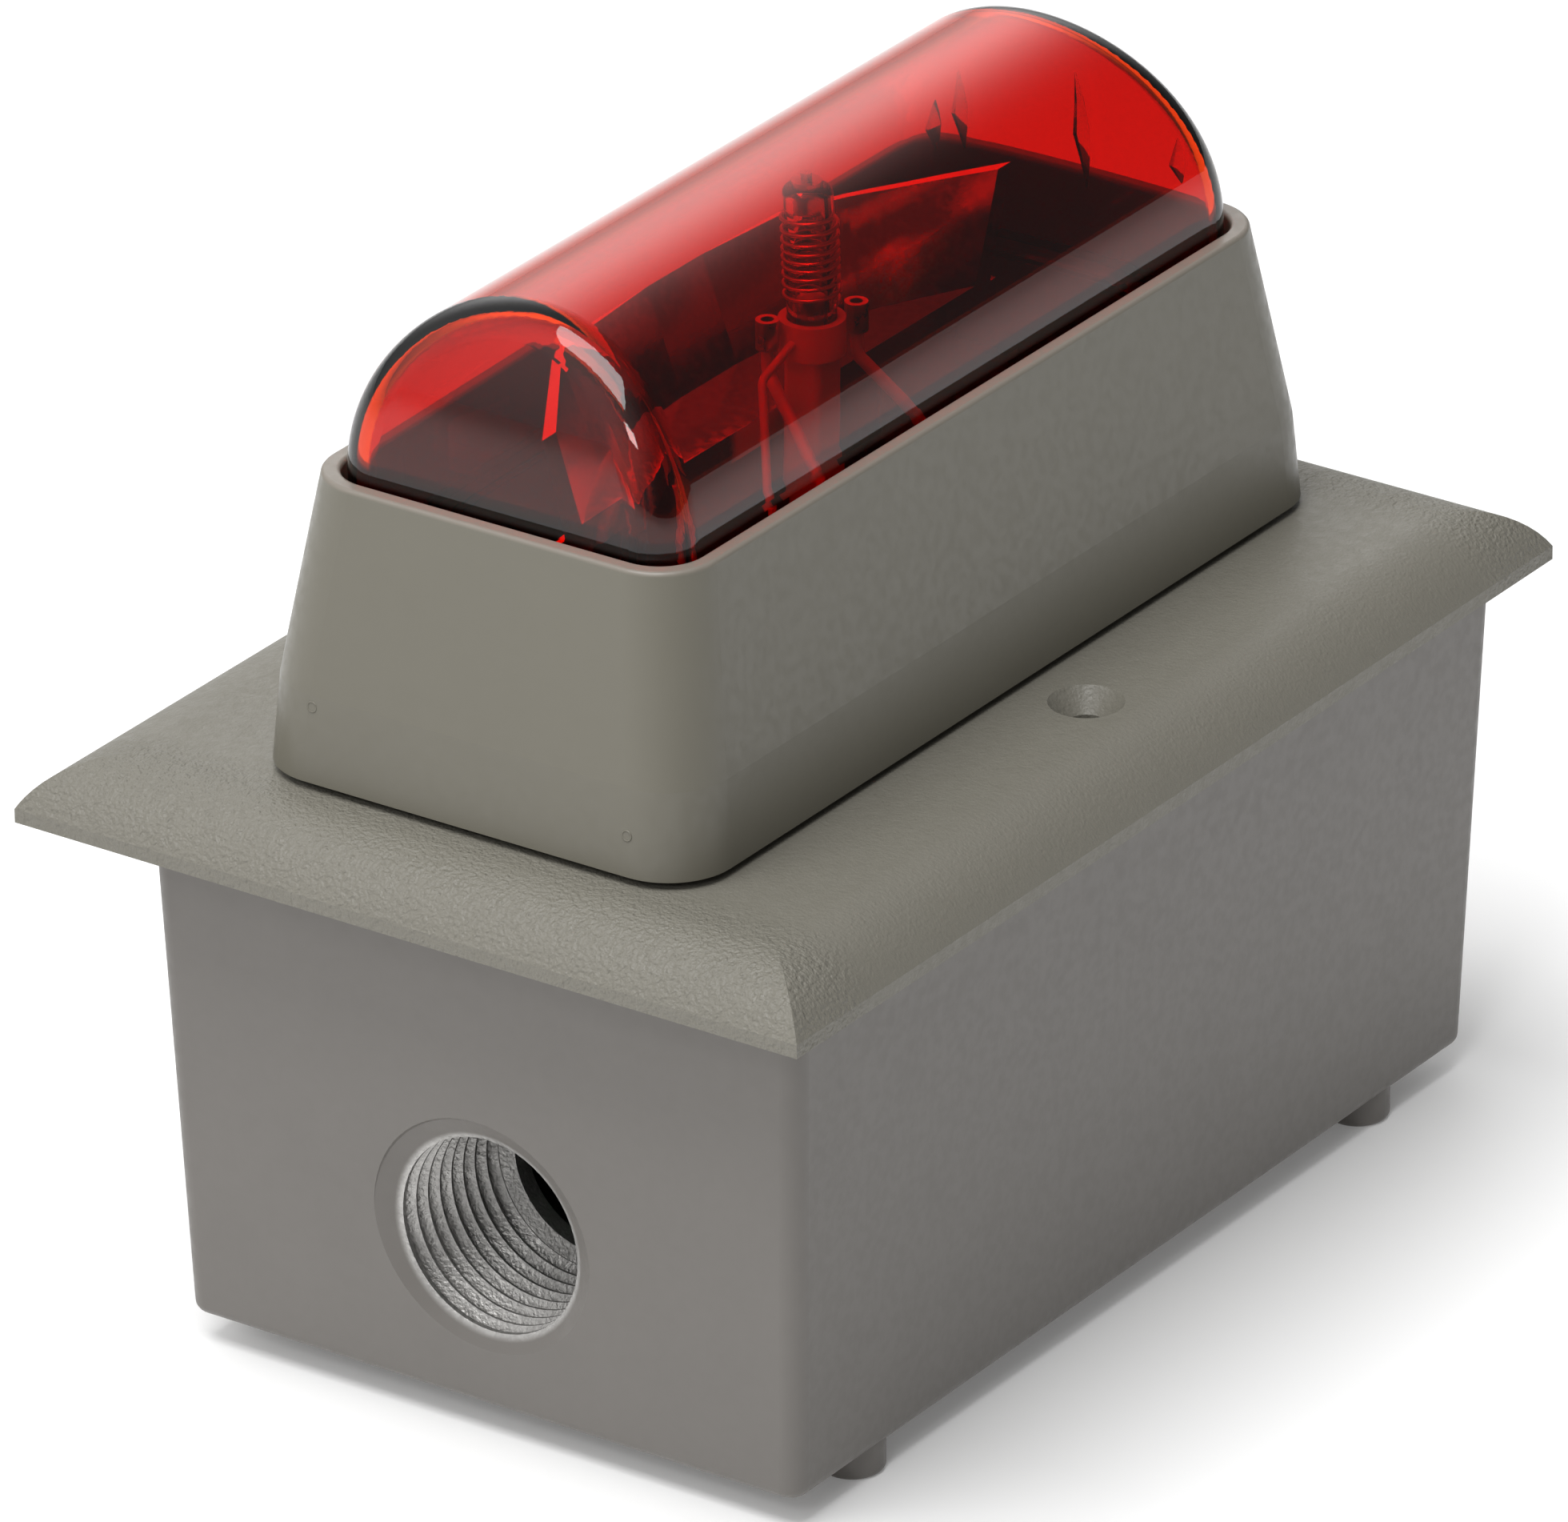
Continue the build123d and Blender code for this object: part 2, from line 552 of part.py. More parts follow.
def make_tube_leads():
    """Insulated leads from the tube down through the chassis and the cover's window to the board."""
    under_chassis = CHASSIS_BOTTOM - 3.4
    clip_x, clip_y, clip_z = 2.2, 3.9, POST_TOP - 2.25
    near = [
        (TUBE_X - clip_x, -clip_y, clip_z),
        (TUBE_X - clip_x, -clip_y, clip_z - 2.4),
        (7.5, -8.0, 80.0),
        (7.5, -9.0, 73.0),
        (7.5, -9.0, 56.0),
        (9.0, -13.0, 47.0),
        (9.0, -13.0, BOARD_TOP),
    ]
    far = [
        (TUBE_X + clip_x, clip_y, clip_z),
        (TUBE_X + clip_x, clip_y, clip_z - 2.4),
        (7.5, 8.0, 80.0),
        (7.5, 9.0, 73.0),
        (7.5, 9.0, under_chassis),
        (9.0, -20.0, under_chassis),
        (9.0, -20.0, BOARD_TOP),
    ]
    trigger = [
        (TUBE_X, -3.2, 89.8),
        (TUBE_X, -8.0, 88.0),
        (5.5, -13.0, 79.0),
        (7.5, -15.0, 73.0),
        (7.5, -15.0, 56.0),
        (4.2, -23.0, 47.0),
        (4.2, -23.0, BOARD_TOP),
    ]
    with BuildPart() as tube_leads:
        wire(near, 0.6, 1.6)
        wire(far, 0.6, 1.6)
        wire(trigger, 0.4, 1.4)
    keep(tube_leads, "tube_leads")


def make_circuit_board():
    with BuildPart() as circuit_board:
        with BuildSketch(upright(BOARD_BOTTOM)):
            RectangleRounded(BOARD_WIDTH, BOARD_LENGTH, 3.0)
            with Locations((-BOARD_WIDTH / 2, COVER_SCREW_Y), (BOARD_WIDTH / 2, COVER_SCREW_Y)):
                Rectangle(12.0, 12.0, mode=Mode.SUBTRACT)
        extrude(amount=BOARD_THICKNESS)
        for x, y in FOUR_BOARD_SCREWS:
            drill(x, y, BOARD_BOTTOM, BOARD_TOP, 1.5)
    keep(circuit_board, "circuit_board")


def make_board_screws():
    with BuildPart() as board_screws:
        for x, y in FOUR_BOARD_SCREWS:
            post(x, y, BOARD_BOTTOM - 1.8, BOARD_BOTTOM, 2.7)
            post(x, y, BOARD_BOTTOM, BOARD_TOP + 8.0, 1.2)
            slab(x, y, BOARD_BOTTOM - 1.8, (3.4, 0.7, 0.9), mode=Mode.SUBTRACT)
            slab(x, y, BOARD_BOTTOM - 1.8, (0.7, 3.4, 0.9), mode=Mode.SUBTRACT)
    keep(board_screws, "board_screws")


def make_flash_capacitor():
    """Electrolytic can lying on the board, with its rolled groove and bent leads."""
    radius, length = 6.25, 27.0
    x, y, z = -19.0, -22.0, BOARD_TOP + 6.4
    with BuildPart() as flash_capacitor:
        with BuildSketch(Plane.XZ.offset(-(y - length / 2))):
            with Locations((x, z)):
                Circle(radius)
        extrude(amount=-length)
        fillet(flash_capacitor.edges(), 0.8)
        with BuildSketch(Plane.XZ.offset(-(y - length / 2 + 2.6))):
            with Locations((x, z)):
                Circle(radius + 1.0)
                Circle(radius - 0.5, mode=Mode.SUBTRACT)
        extrude(amount=-1.1, mode=Mode.SUBTRACT)
        for side in (-1, 1):
            slab(x + side * 2.5, y - length / 2 - 1.2, BOARD_TOP, (0.8, 0.8, 6.8))
            slab(x + side * 2.5, y - length / 2 - 0.4, z - 0.4, (0.8, 2.0, 0.8))
    keep(flash_capacitor, "flash_capacitor")


def make_trigger_transformer():
    with BuildPart() as trigger_transformer:
        slab(11.5, -31.0, BOARD_TOP + 0.3, (10.0, 11.0, 9.0))
        fillet(trigger_transformer.edges().filter_by(Axis.Z), 1.0)
        for x in (8.0, 15.0):
            for y in (-34.5, -27.5):
                post(x, y, BOARD_TOP, BOARD_TOP + 0.6, 0.5)
    keep(trigger_transformer, "trigger_transformer")


def make_boost_inductor():
    """Drum core with a wound waist."""
    x, y = 19.5, -17.0
    with BuildPart() as boost_inductor:
        post(x, y, BOARD_TOP, BOARD_TOP + 1.4, 4.8)
        post(x, y, BOARD_TOP + 1.4, BOARD_TOP + 8.0, 4.1)
        post(x, y, BOARD_TOP + 8.0, BOARD_TOP + 9.4, 4.8)
    keep(boost_inductor, "boost_inductor")


def make_switch_transistor():
    """Upright power package with its metal tab."""
    x, y = 22.0, -38.4
    with BuildPart() as switch_transistor:
        slab(x, y, BOARD_TOP + 2.0, (10.0, 4.4, 8.6))
        slab(x, y + 1.55, BOARD_TOP + 10.6, (10.0, 1.3, 4.4))
        with BuildSketch(Plane.XZ.offset(-y)):
            with Locations((x, BOARD_TOP + 12.9)):
                Circle(1.4)
        extrude(amount=4.0, both=True, mode=Mode.SUBTRACT)
        for step in (-2.5, 0.0, 2.5):
            slab(x + step, y, BOARD_TOP, (0.8, 0.5, 2.2))
    keep(switch_transistor, "switch_transistor")


def make_control_chip():
    with BuildPart() as control_chip:
        slab(-6.5, -40.0, BOARD_TOP + 0.4, (9.8, 6.2, 2.6))
        for side in (-1, 1):
            for step in range(4):
                slab(-6.5 - 3.8 + step * 2.54, -40.0 + side * 3.5, BOARD_TOP, (0.7, 0.9, 1.6))
    keep(control_chip, "control_chip")


def lying_pill(x, y, radius, length):
    """Adds a small cylinder lying along X on the board, with a lead at each end."""
    z = BOARD_TOP + radius + 0.2
    with BuildSketch(Plane.YZ.offset(x - length / 2)) as section:
        with Locations((y, z)):
            Circle(radius)
    extrude(section.sketch, amount=length)
    for side in (-1, 1):
        slab(x + side * (length / 2 + 0.9), y, BOARD_TOP, (0.6, 0.6, radius + 0.5))
        slab(x + side * (length / 2 + 0.4), y, z - 0.3, (1.6, 0.6, 0.6))


def make_resistors():
    with BuildPart() as resistors:
        for row in range(4):
            lying_pill(-1.5, -31.5 + row * 4.2, 1.15, 6.0)
    keep(resistors, "resistors")


def make_diodes():
    with BuildPart() as diodes:
        for row in range(3):
            lying_pill(4.5, -39.8 - row * 3.1, 1.0, 5.0)
    keep(diodes, "diodes")


def make_terminal_block():
    """Four-way screw terminal on the wiring side: wires enter towards the conduit end."""
    depth, height = 9.0, 10.0
    low = BOARD_BOTTOM - height
    with BuildPart() as terminal_block:
        slab(0, TERMINAL_Y, low, (20.6, depth, height))
        chamfer(terminal_block.faces().sort_by(Axis.Z)[0].edges().filter_by(Axis.X), 1.6)
        for x in terminal_places():
            drill(x, TERMINAL_Y, low, low + 6.4, 1.9)
            slab(x, TERMINAL_Y - 2.5, low + 5.4, (3.4, 5.0, 3.6), mode=Mode.SUBTRACT)
    keep(terminal_block, "terminal_block")


def terminal_places():
    """The terminals' X places, at the usual 5.08 pitch."""
    return [(i - 1.5) * 5.08 for i in range(4)]


def make_terminal_screws():
    low = BOARD_BOTTOM - 10.0
    with BuildPart() as terminal_screws:
        for x in terminal_places():
            post(x, TERMINAL_Y, low + 0.9, low + 5.3, 1.8)
            slab(x, TERMINAL_Y, low + 0.9, (3.8, 0.7, 0.9), mode=Mode.SUBTRACT)
    keep(terminal_screws, "terminal_screws")


def make_selector():
    """Slide switch that sets the flash brightness: a body with a slot, and a knob that travels in it."""
    x, y = 14.0, -6.0
    low = BOARD_BOTTOM - 4.4
    with BuildPart() as selector_body:
        slab(x, y, low, (6.0, 14.0, 4.4))
        slab(x, y, low, (2.4, 9.6, 2.6), mode=Mode.SUBTRACT)
    keep(selector_body, "selector_body")
    with BuildPart() as selector_knob:
        slab(x, y - 2.5, low - 1.8, (2.0, 3.2, 4.1))
    keep(selector_knob, "selector_knob")


def make_trimmer():
    """Volume trimmer: a square body with a slotted rotor."""
    x, y = -14.0, -6.0
    low = BOARD_BOTTOM - 4.6
    with BuildPart() as trimmer_body:
        slab(x, y, low, (7.0, 7.0, 4.6))
        drill(x, y, low, low + 2.0, 2.65)
    keep(trimmer_body, "trimmer_body")
    with BuildPart() as trimmer_rotor:
        post(x, y, low - 0.6, low + 1.8, 2.6)
        slab(x, y, low - 0.6, (4.2, 0.8, 1.0), mode=Mode.SUBTRACT)
    keep(trimmer_rotor, "trimmer_rotor")


def make_horn_frame():
    """Cup that carries the electromagnet, with three ears screwed to the cover."""
    seat = DIAPHRAGM_BOTTOM - 0.6
    with BuildPart() as horn_frame:
        post(0, HORN_Y, HORN_FLOOR, seat, HORN_RADIUS)
        drill(0, HORN_Y, HORN_FLOOR + 1.6, seat, HORN_RADIUS - 2.2)
        with BuildSketch(upright(seat)):
            with Locations((0, HORN_Y)):
                Circle(HORN_RADIUS)
                Circle(DIAPHRAGM_RADIUS - 1.6, mode=Mode.SUBTRACT)
        extrude(amount=-1.2)
        with BuildSketch(upright(seat)):
            with Locations((0, HORN_Y)):
                Circle(HORN_RADIUS)
                Circle(DIAPHRAGM_RADIUS + 0.3, mode=Mode.SUBTRACT)
        extrude(amount=1.5)
        for x, y in horn_ears():
            post(x, y, seat - 1.2, WEB_BOTTOM, 2.9)
            drill(x, y, seat - 1.2, WEB_BOTTOM, 1.45)
        drill(0, HORN_Y, seat - 1.2, WEB_BOTTOM, DIAPHRAGM_RADIUS - 1.6)
        drill(0, HORN_Y, seat, WEB_BOTTOM, DIAPHRAGM_RADIUS + 0.3)
        with BuildSketch(upright(seat + 1.5)):
            with Locations((0, HORN_Y)):
                Circle(HORN_RADIUS + 0.05)
        extrude(amount=WEB_BOTTOM - seat - 1.5, mode=Mode.SUBTRACT)
    keep(horn_frame, "horn_frame")


def make_horn_ring():
    """Clamp ring over the diaphragm's edge, shut against the cover."""
    low = DIAPHRAGM_BOTTOM + 0.9
    with BuildPart() as horn_ring:
        post(0, HORN_Y, low, WEB_BOTTOM, HORN_RADIUS)
        drill(0, HORN_Y, low, WEB_BOTTOM, DIAPHRAGM_RADIUS - 2.0)
    keep(horn_ring, "horn_ring")


def make_horn_screws():
    low = DIAPHRAGM_BOTTOM - 0.6 - 1.2
    with BuildPart() as horn_screws:
        for x, y in horn_ears():
            post(x, y, low - 1.6, low, 2.4)
            post(x, y, low, WEB_BOTTOM + 2.2, 1.15)
            slab(x, y, low - 1.6, (3.2, 0.7, 0.8), mode=Mode.SUBTRACT)
            slab(x, y, low - 1.6, (0.7, 3.2, 0.8), mode=Mode.SUBTRACT)
    keep(horn_screws, "horn_screws")


def make_horn_motor():
    """The horn's pole, winding and ring magnet, standing in the cup."""
    base = HORN_FLOOR + 1.6
    with BuildPart() as horn_core:
        post(0, HORN_Y, base, base + 7.0, 4.0)
    keep(horn_core, "horn_core")
    with BuildPart() as horn_coil:
        post(0, HORN_Y, base, base + 0.8, 9.0)
        post(0, HORN_Y, base + 0.8, base + 5.2, 8.2)
        post(0, HORN_Y, base + 5.2, base + 6.0, 9.0)
        drill(0, HORN_Y, base, base + 6.0, 4.1)
    keep(horn_coil, "horn_coil")
    with BuildPart() as horn_magnet:
        post(0, HORN_Y, base, base + 5.0, 15.0)
        drill(0, HORN_Y, base, base + 5.0, 10.0)
    keep(horn_magnet, "horn_magnet")


def make_diaphragm():
    """Sprung steel disc with a pressed ring, and the armature riveted to its middle."""
    with BuildPart() as diaphragm:
        with BuildSketch(Plane.XZ.offset(-HORN_Y)):
            with BuildLine():
                Polyline(
                    (1.5, DIAPHRAGM_BOTTOM),
                    (11.0, DIAPHRAGM_BOTTOM),
                    (12.5, DIAPHRAGM_BOTTOM + 0.5),
                    (15.5, DIAPHRAGM_BOTTOM + 0.5),
                    (17.0, DIAPHRAGM_BOTTOM),
                    (DIAPHRAGM_RADIUS, DIAPHRAGM_BOTTOM),
                    (DIAPHRAGM_RADIUS, DIAPHRAGM_BOTTOM + 0.3),
                    (17.0, DIAPHRAGM_BOTTOM + 0.3),
                    (15.5, DIAPHRAGM_BOTTOM + 0.8),
                    (12.5, DIAPHRAGM_BOTTOM + 0.8),
                    (11.0, DIAPHRAGM_BOTTOM + 0.3),
                    (1.5, DIAPHRAGM_BOTTOM + 0.3),
                    close=True,
                )
            make_face()
        revolve(axis=Axis((0, HORN_Y, 0), (0, 0, 1)))
    keep(diaphragm, "diaphragm")
    with BuildPart() as armature:
        post(0, HORN_Y, DIAPHRAGM_BOTTOM - 1.1, DIAPHRAGM_BOTTOM, 5.0)
        post(0, HORN_Y, DIAPHRAGM_BOTTOM, DIAPHRAGM_BOTTOM + 0.3, 1.48)
        post(0, HORN_Y, DIAPHRAGM_BOTTOM + 0.3, DIAPHRAGM_BOTTOM + 1.0, 2.4)
    keep(armature, "armature")


def make_horn_leads():
    """Two short leads from the winding out under the cup to the board."""
    with BuildPart() as horn_leads:
        for side in (-1, 1):
            wire(
                [
                    (side * 3.0, HORN_Y - HORN_RADIUS - 0.2, HORN_FLOOR + 3.0),
                    (side * 3.0, HORN_Y - HORN_RADIUS - 3.4, HORN_FLOOR + 3.0),
                    (side * 3.0, HORN_Y - HORN_RADIUS - 3.4, BOARD_TOP),
                ],
                0.5,
                1.2,
            )
    keep(horn_leads, "horn_leads")


def main():
    os.makedirs("parts", exist_ok=True)
    make_backbox()
    make_ground_screw()
    make_cover_plate()
    make_cover_gasket()
    make_bezel()
    make_clamp_screws()
    make_lens()
    make_lens_gasket()
    make_strobe_chassis()
    make_reflector()
    make_tube_post()
    make_flash_tube()
    make_tube_electrodes()
    make_trigger_wire()
    make_tube_clips()
    make_tube_leads()
    make_circuit_board()
    make_board_screws()
    make_flash_capacitor()
    make_trigger_transformer()
    make_boost_inductor()
    make_switch_transistor()
    make_control_chip()
    make_resistors()
    make_diodes()
    make_terminal_block()
    make_terminal_screws()
    make_selector()
    make_trimmer()
    make_horn_frame()
    make_horn_ring()
    make_horn_screws()
    make_horn_motor()
    make_diaphragm()
    make_horn_leads()


main()
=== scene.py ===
"""Looks of a weatherproof horn strobe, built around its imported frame.

Lengths are in metres unless a name or a comment says millimetres. The frame lies on its feet with the lens
upwards (+Z), and the conduit entry faces -Y. Each assembly class gives its nodes their finishes and adds the
small parts that only matter to the eye: windings, solder, printed marks and the helical trigger wire.
"""

import json
import logging
import math
from dataclasses import dataclass, field
from enum import Enum

import bpy
from mathutils import Matrix, Vector

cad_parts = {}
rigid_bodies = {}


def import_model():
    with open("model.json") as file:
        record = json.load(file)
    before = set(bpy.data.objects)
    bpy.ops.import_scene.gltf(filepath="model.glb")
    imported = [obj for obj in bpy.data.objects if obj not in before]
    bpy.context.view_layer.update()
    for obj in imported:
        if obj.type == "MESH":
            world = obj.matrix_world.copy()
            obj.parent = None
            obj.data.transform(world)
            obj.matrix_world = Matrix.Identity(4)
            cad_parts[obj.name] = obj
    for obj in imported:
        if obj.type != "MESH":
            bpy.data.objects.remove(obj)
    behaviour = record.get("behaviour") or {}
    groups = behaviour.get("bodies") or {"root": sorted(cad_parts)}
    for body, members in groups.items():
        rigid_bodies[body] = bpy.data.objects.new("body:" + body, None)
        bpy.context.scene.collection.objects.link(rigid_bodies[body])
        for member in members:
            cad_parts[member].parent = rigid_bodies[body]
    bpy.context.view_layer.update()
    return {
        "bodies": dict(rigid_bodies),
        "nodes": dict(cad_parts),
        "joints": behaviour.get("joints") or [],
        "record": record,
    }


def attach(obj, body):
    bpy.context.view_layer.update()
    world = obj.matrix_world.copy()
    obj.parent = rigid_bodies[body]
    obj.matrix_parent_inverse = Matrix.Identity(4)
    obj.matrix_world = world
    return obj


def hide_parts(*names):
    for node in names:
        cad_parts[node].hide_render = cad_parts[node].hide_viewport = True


logging.basicConfig(level=logging.INFO, format="%(name)s: %(message)s")
LOG = logging.getLogger("horn_strobe")

MM = 0.001
Point = tuple[float, float, float]
Colour = tuple[float, float, float]
Socket = bpy.types.NodeSocket

HEAD = "head"
ENTRY_CENTRE = (1.4 * MM, 20.2 * MM)
TUBE_CENTRE = (1.4 * MM, 0.0)
TUBE_WALL = 2.3 * MM
BOARD_TOP, BOARD_UNDER = 40.0 * MM, 38.4 * MM
HORN_CENTRE = (0.0, 24.0 * MM)
DOWN, ALONG_X = Vector((0, 0, -1)), Vector((1, 0, 0))

# Bands over which the cut thread gives way to paint: the bore's radius, then y at its mouth and at the box
ENTRY_BORE = (10.75 * MM, 10.95 * MM)
ENTRY_MOUTH = (-51.5 * MM, -51.1 * MM)
ENTRY_INNER = (-33.1 * MM, -32.7 * MM)

# Heights over which a painted highlight lightens the bezel's top rim
BEZEL_RIM_HIGHLIGHT = (88.3 * MM, 88.75 * MM)

CAMERA_PLACE = (0.779175, -1.121587, 0.705557)
CAMERA_AXES = ((0.82285, -0.24026, 0.51496), (0.56818, 0.36216, -0.73893), (-0.00897, 0.90062, 0.43451))
CAMERA_SENSOR, CAMERA_LENS = 36.0, 379.75
CAMERA_SHIFT = (0.0062, 0.0004)


class Grain(Enum):
    """Kinds of surface relief."""

    SMOOTH = "smooth"
    CAST = "cast"
    BRUSHED = "brushed"
    MOULDED = "moulded"


@dataclass(frozen=True)
class Finish:
    """How one material looks.

    Attributes:
        name: Material name.
        colour: Linear base colour.
        roughness: Mean roughness.
        metallic: 0 for paint and plastic, 1 for metal.
        grain: Kind of relief.
        cell: Size of one grain of the relief, in metres.
        depth: Height of the relief, in metres.
        mottle: How far the colour drifts over the surface, from 0 to 1.
        transmission: 1 for clear pieces.
        ior: Index of refraction.
        coat: Weight of a clear coat.
    """

    name: str
    colour: Colour
    roughness: float
    metallic: float = 0.0
    grain: Grain = Grain.SMOOTH
    cell: float = 0.4 * MM
    depth: float = 0.0
    mottle: float = 0.05
    transmission: float = 0.0
    ior: float = 1.5
    coat: float = 0.0


class Shader:
    """A material's node tree, with short calls for the nodes used here."""

    def __init__(self, name: str) -> None:
        """Starts a plain Principled material.

        Args:
            name: Material name.
        """
        self.material = bpy.data.materials.new(name)
        self.material.use_nodes = True
        self.tree = self.material.node_tree
        self.bsdf = self.tree.nodes["Principled BSDF"]
        coordinates = self.tree.nodes.new("ShaderNodeTexCoord")
        self.place = coordinates.outputs["Object"]

    def noise(self, cell: float, detail: float = 3.0, stretch: Point = (1.0, 1.0, 1.0)) -> Socket:
        """Fractal noise whose grains are about one cell across.

        Args:
            cell: Grain size in metres.
            detail: Octaves.
            stretch: Factors on the coordinates, for brushed looks.

        Returns:
            The noise node's factor socket.
        """
        mapping = self.tree.nodes.new("ShaderNodeMapping")
        mapping.inputs["Scale"].default_value = stretch
        self.tree.links.new(self.place, mapping.inputs["Vector"])
        node = self.tree.nodes.new("ShaderNodeTexNoise")
        node.inputs["Scale"].default_value = 1.0 / cell
        node.inputs["Detail"].default_value = detail
        self.tree.links.new(mapping.outputs["Vector"], node.inputs["Vector"])
        return node.outputs["Fac"]

    def calc(self, operation: str, first: Socket | float, second: Socket | float = 0.0) -> Socket:
        """One arithmetic step.

        Args:
            operation: Name of the Math node's operation.
            first: Socket or number.
            second: Socket or number.

        Returns:
            The value socket.
        """
        node = self.tree.nodes.new("ShaderNodeMath")
        node.operation = operation
        for index, value in enumerate((first, second)):
            if isinstance(value, (int, float)):
                node.inputs[index].default_value = value
            else:
                self.tree.links.new(value, node.inputs[index])
        return node.outputs[0]

    def spread(self, value: Socket, low: float, high: float, out_low: float, out_high: float) -> Socket:
        """Maps a value from one range smoothly onto another.

        Args:
            value: Socket to map.
            low: Start of its range.
            high: End of its range.
            out_low: Result at the start.
            out_high: Result at the end.

        Returns:
            The result socket.
        """
        node = self.tree.nodes.new("ShaderNodeMapRange")
        node.interpolation_type = "SMOOTHSTEP"
        names = ("From Min", "From Max", "To Min", "To Max")
        for name, number in zip(names, (low, high, out_low, out_high)):
            node.inputs[name].default_value = number
        self.tree.links.new(value, node.inputs["Value"])
        return node.outputs["Result"]

    def axes(self) -> tuple[Socket, Socket, Socket]:
        """Returns the x, y and z sockets of the place on the object."""
        node = self.tree.nodes.new("ShaderNodeSeparateXYZ")
        self.tree.links.new(self.place, node.inputs[0])
        return node.outputs[0], node.outputs[1], node.outputs[2]

    def mix_colour(self, factor: Socket, first: Colour | Socket, second: Colour | Socket) -> Socket:
        """Mixes two colours.

        Args:
            factor: Socket, 0 for the first and 1 for the second.
            first: Colour or socket.
            second: Colour or socket.

        Returns:
            The colour socket.
        """
        node = self.tree.nodes.new("ShaderNodeMix")
        node.data_type = "RGBA"
        self.tree.links.new(factor, node.inputs["Factor"])
        for name, value in (("A", first), ("B", second)):
            socket = next(s for s in node.inputs if s.name == name and s.type == "RGBA")
            if isinstance(value, tuple):
                socket.default_value = (*value, 1.0)
            else:
                self.tree.links.new(value, socket)
        return next(s for s in node.outputs if s.type == "RGBA")

    def relief(self, height: Socket, depth: float) -> None:
        """Raises the surface by a height map, on top of any relief set before.

        Args:
            height: Height socket, from 0 to 1.
            depth: Height in metres where the map is 1.
        """
        bump = self.tree.nodes.new("ShaderNodeBump")
        bump.inputs["Distance"].default_value = depth
        bump.inputs["Strength"].default_value = 1.0
        self.tree.links.new(height, bump.inputs["Height"])
        if self.bsdf.inputs["Normal"].is_linked:
            self.tree.links.new(self.bsdf.inputs["Normal"].links[0].from_socket, bump.inputs["Normal"])
        self.tree.links.new(bump.outputs["Normal"], self.bsdf.inputs["Normal"])

    def drive(self, name: str, socket: Socket) -> None:
        """Links a socket to one of the surface's inputs.

        Args:
            name: Input name on the Principled node.
            socket: Socket to link.
        """
        self.tree.links.new(socket, self.bsdf.inputs[name])


def tinted(colour: Colour, factor: float) -> Colour:
    """A colour made lighter or darker.

    Args:
        colour: Linear colour.
        factor: Multiplier.

    Returns:
        The scaled colour.
    """
    return tuple(min(1.0, c * factor) for c in colour)


def base_shader(finish: Finish) -> Shader:
    """Builds the procedural material that a finish describes.

    Args:
        finish: The finish to build.

    Returns:
        The shader, ready for further detail.
    """
    shader = Shader(finish.name)
    inputs = shader.bsdf.inputs
    inputs["Metallic"].default_value = finish.metallic
    inputs["IOR"].default_value = finish.ior
    inputs["Coat Weight"].default_value = finish.coat
    inputs["Transmission Weight"].default_value = finish.transmission
    drift = shader.noise(9 * MM, 4.0)
    pale, dark = tinted(finish.colour, 1 + finish.mottle), tinted(finish.colour, 1 - finish.mottle)
    shader.drive("Base Color", shader.mix_colour(drift, dark, pale))
    if finish.transmission < 0.5:
        fine = shader.noise(1.1 * MM, 3.0)
        low, high = max(0.02, finish.roughness - 0.06), min(1.0, finish.roughness + 0.06)
        shader.drive("Roughness", shader.spread(fine, 0.3, 0.7, low, high))
    else:
        inputs["Roughness"].default_value = finish.roughness
    if finish.grain in (Grain.CAST, Grain.MOULDED):
        shader.relief(shader.noise(finish.cell, 4.0), finish.depth)
    if finish.grain is Grain.BRUSHED:
        shader.relief(shader.noise(finish.cell, 4.0, (1.0, 0.06, 1.0)), finish.depth)
    return shader


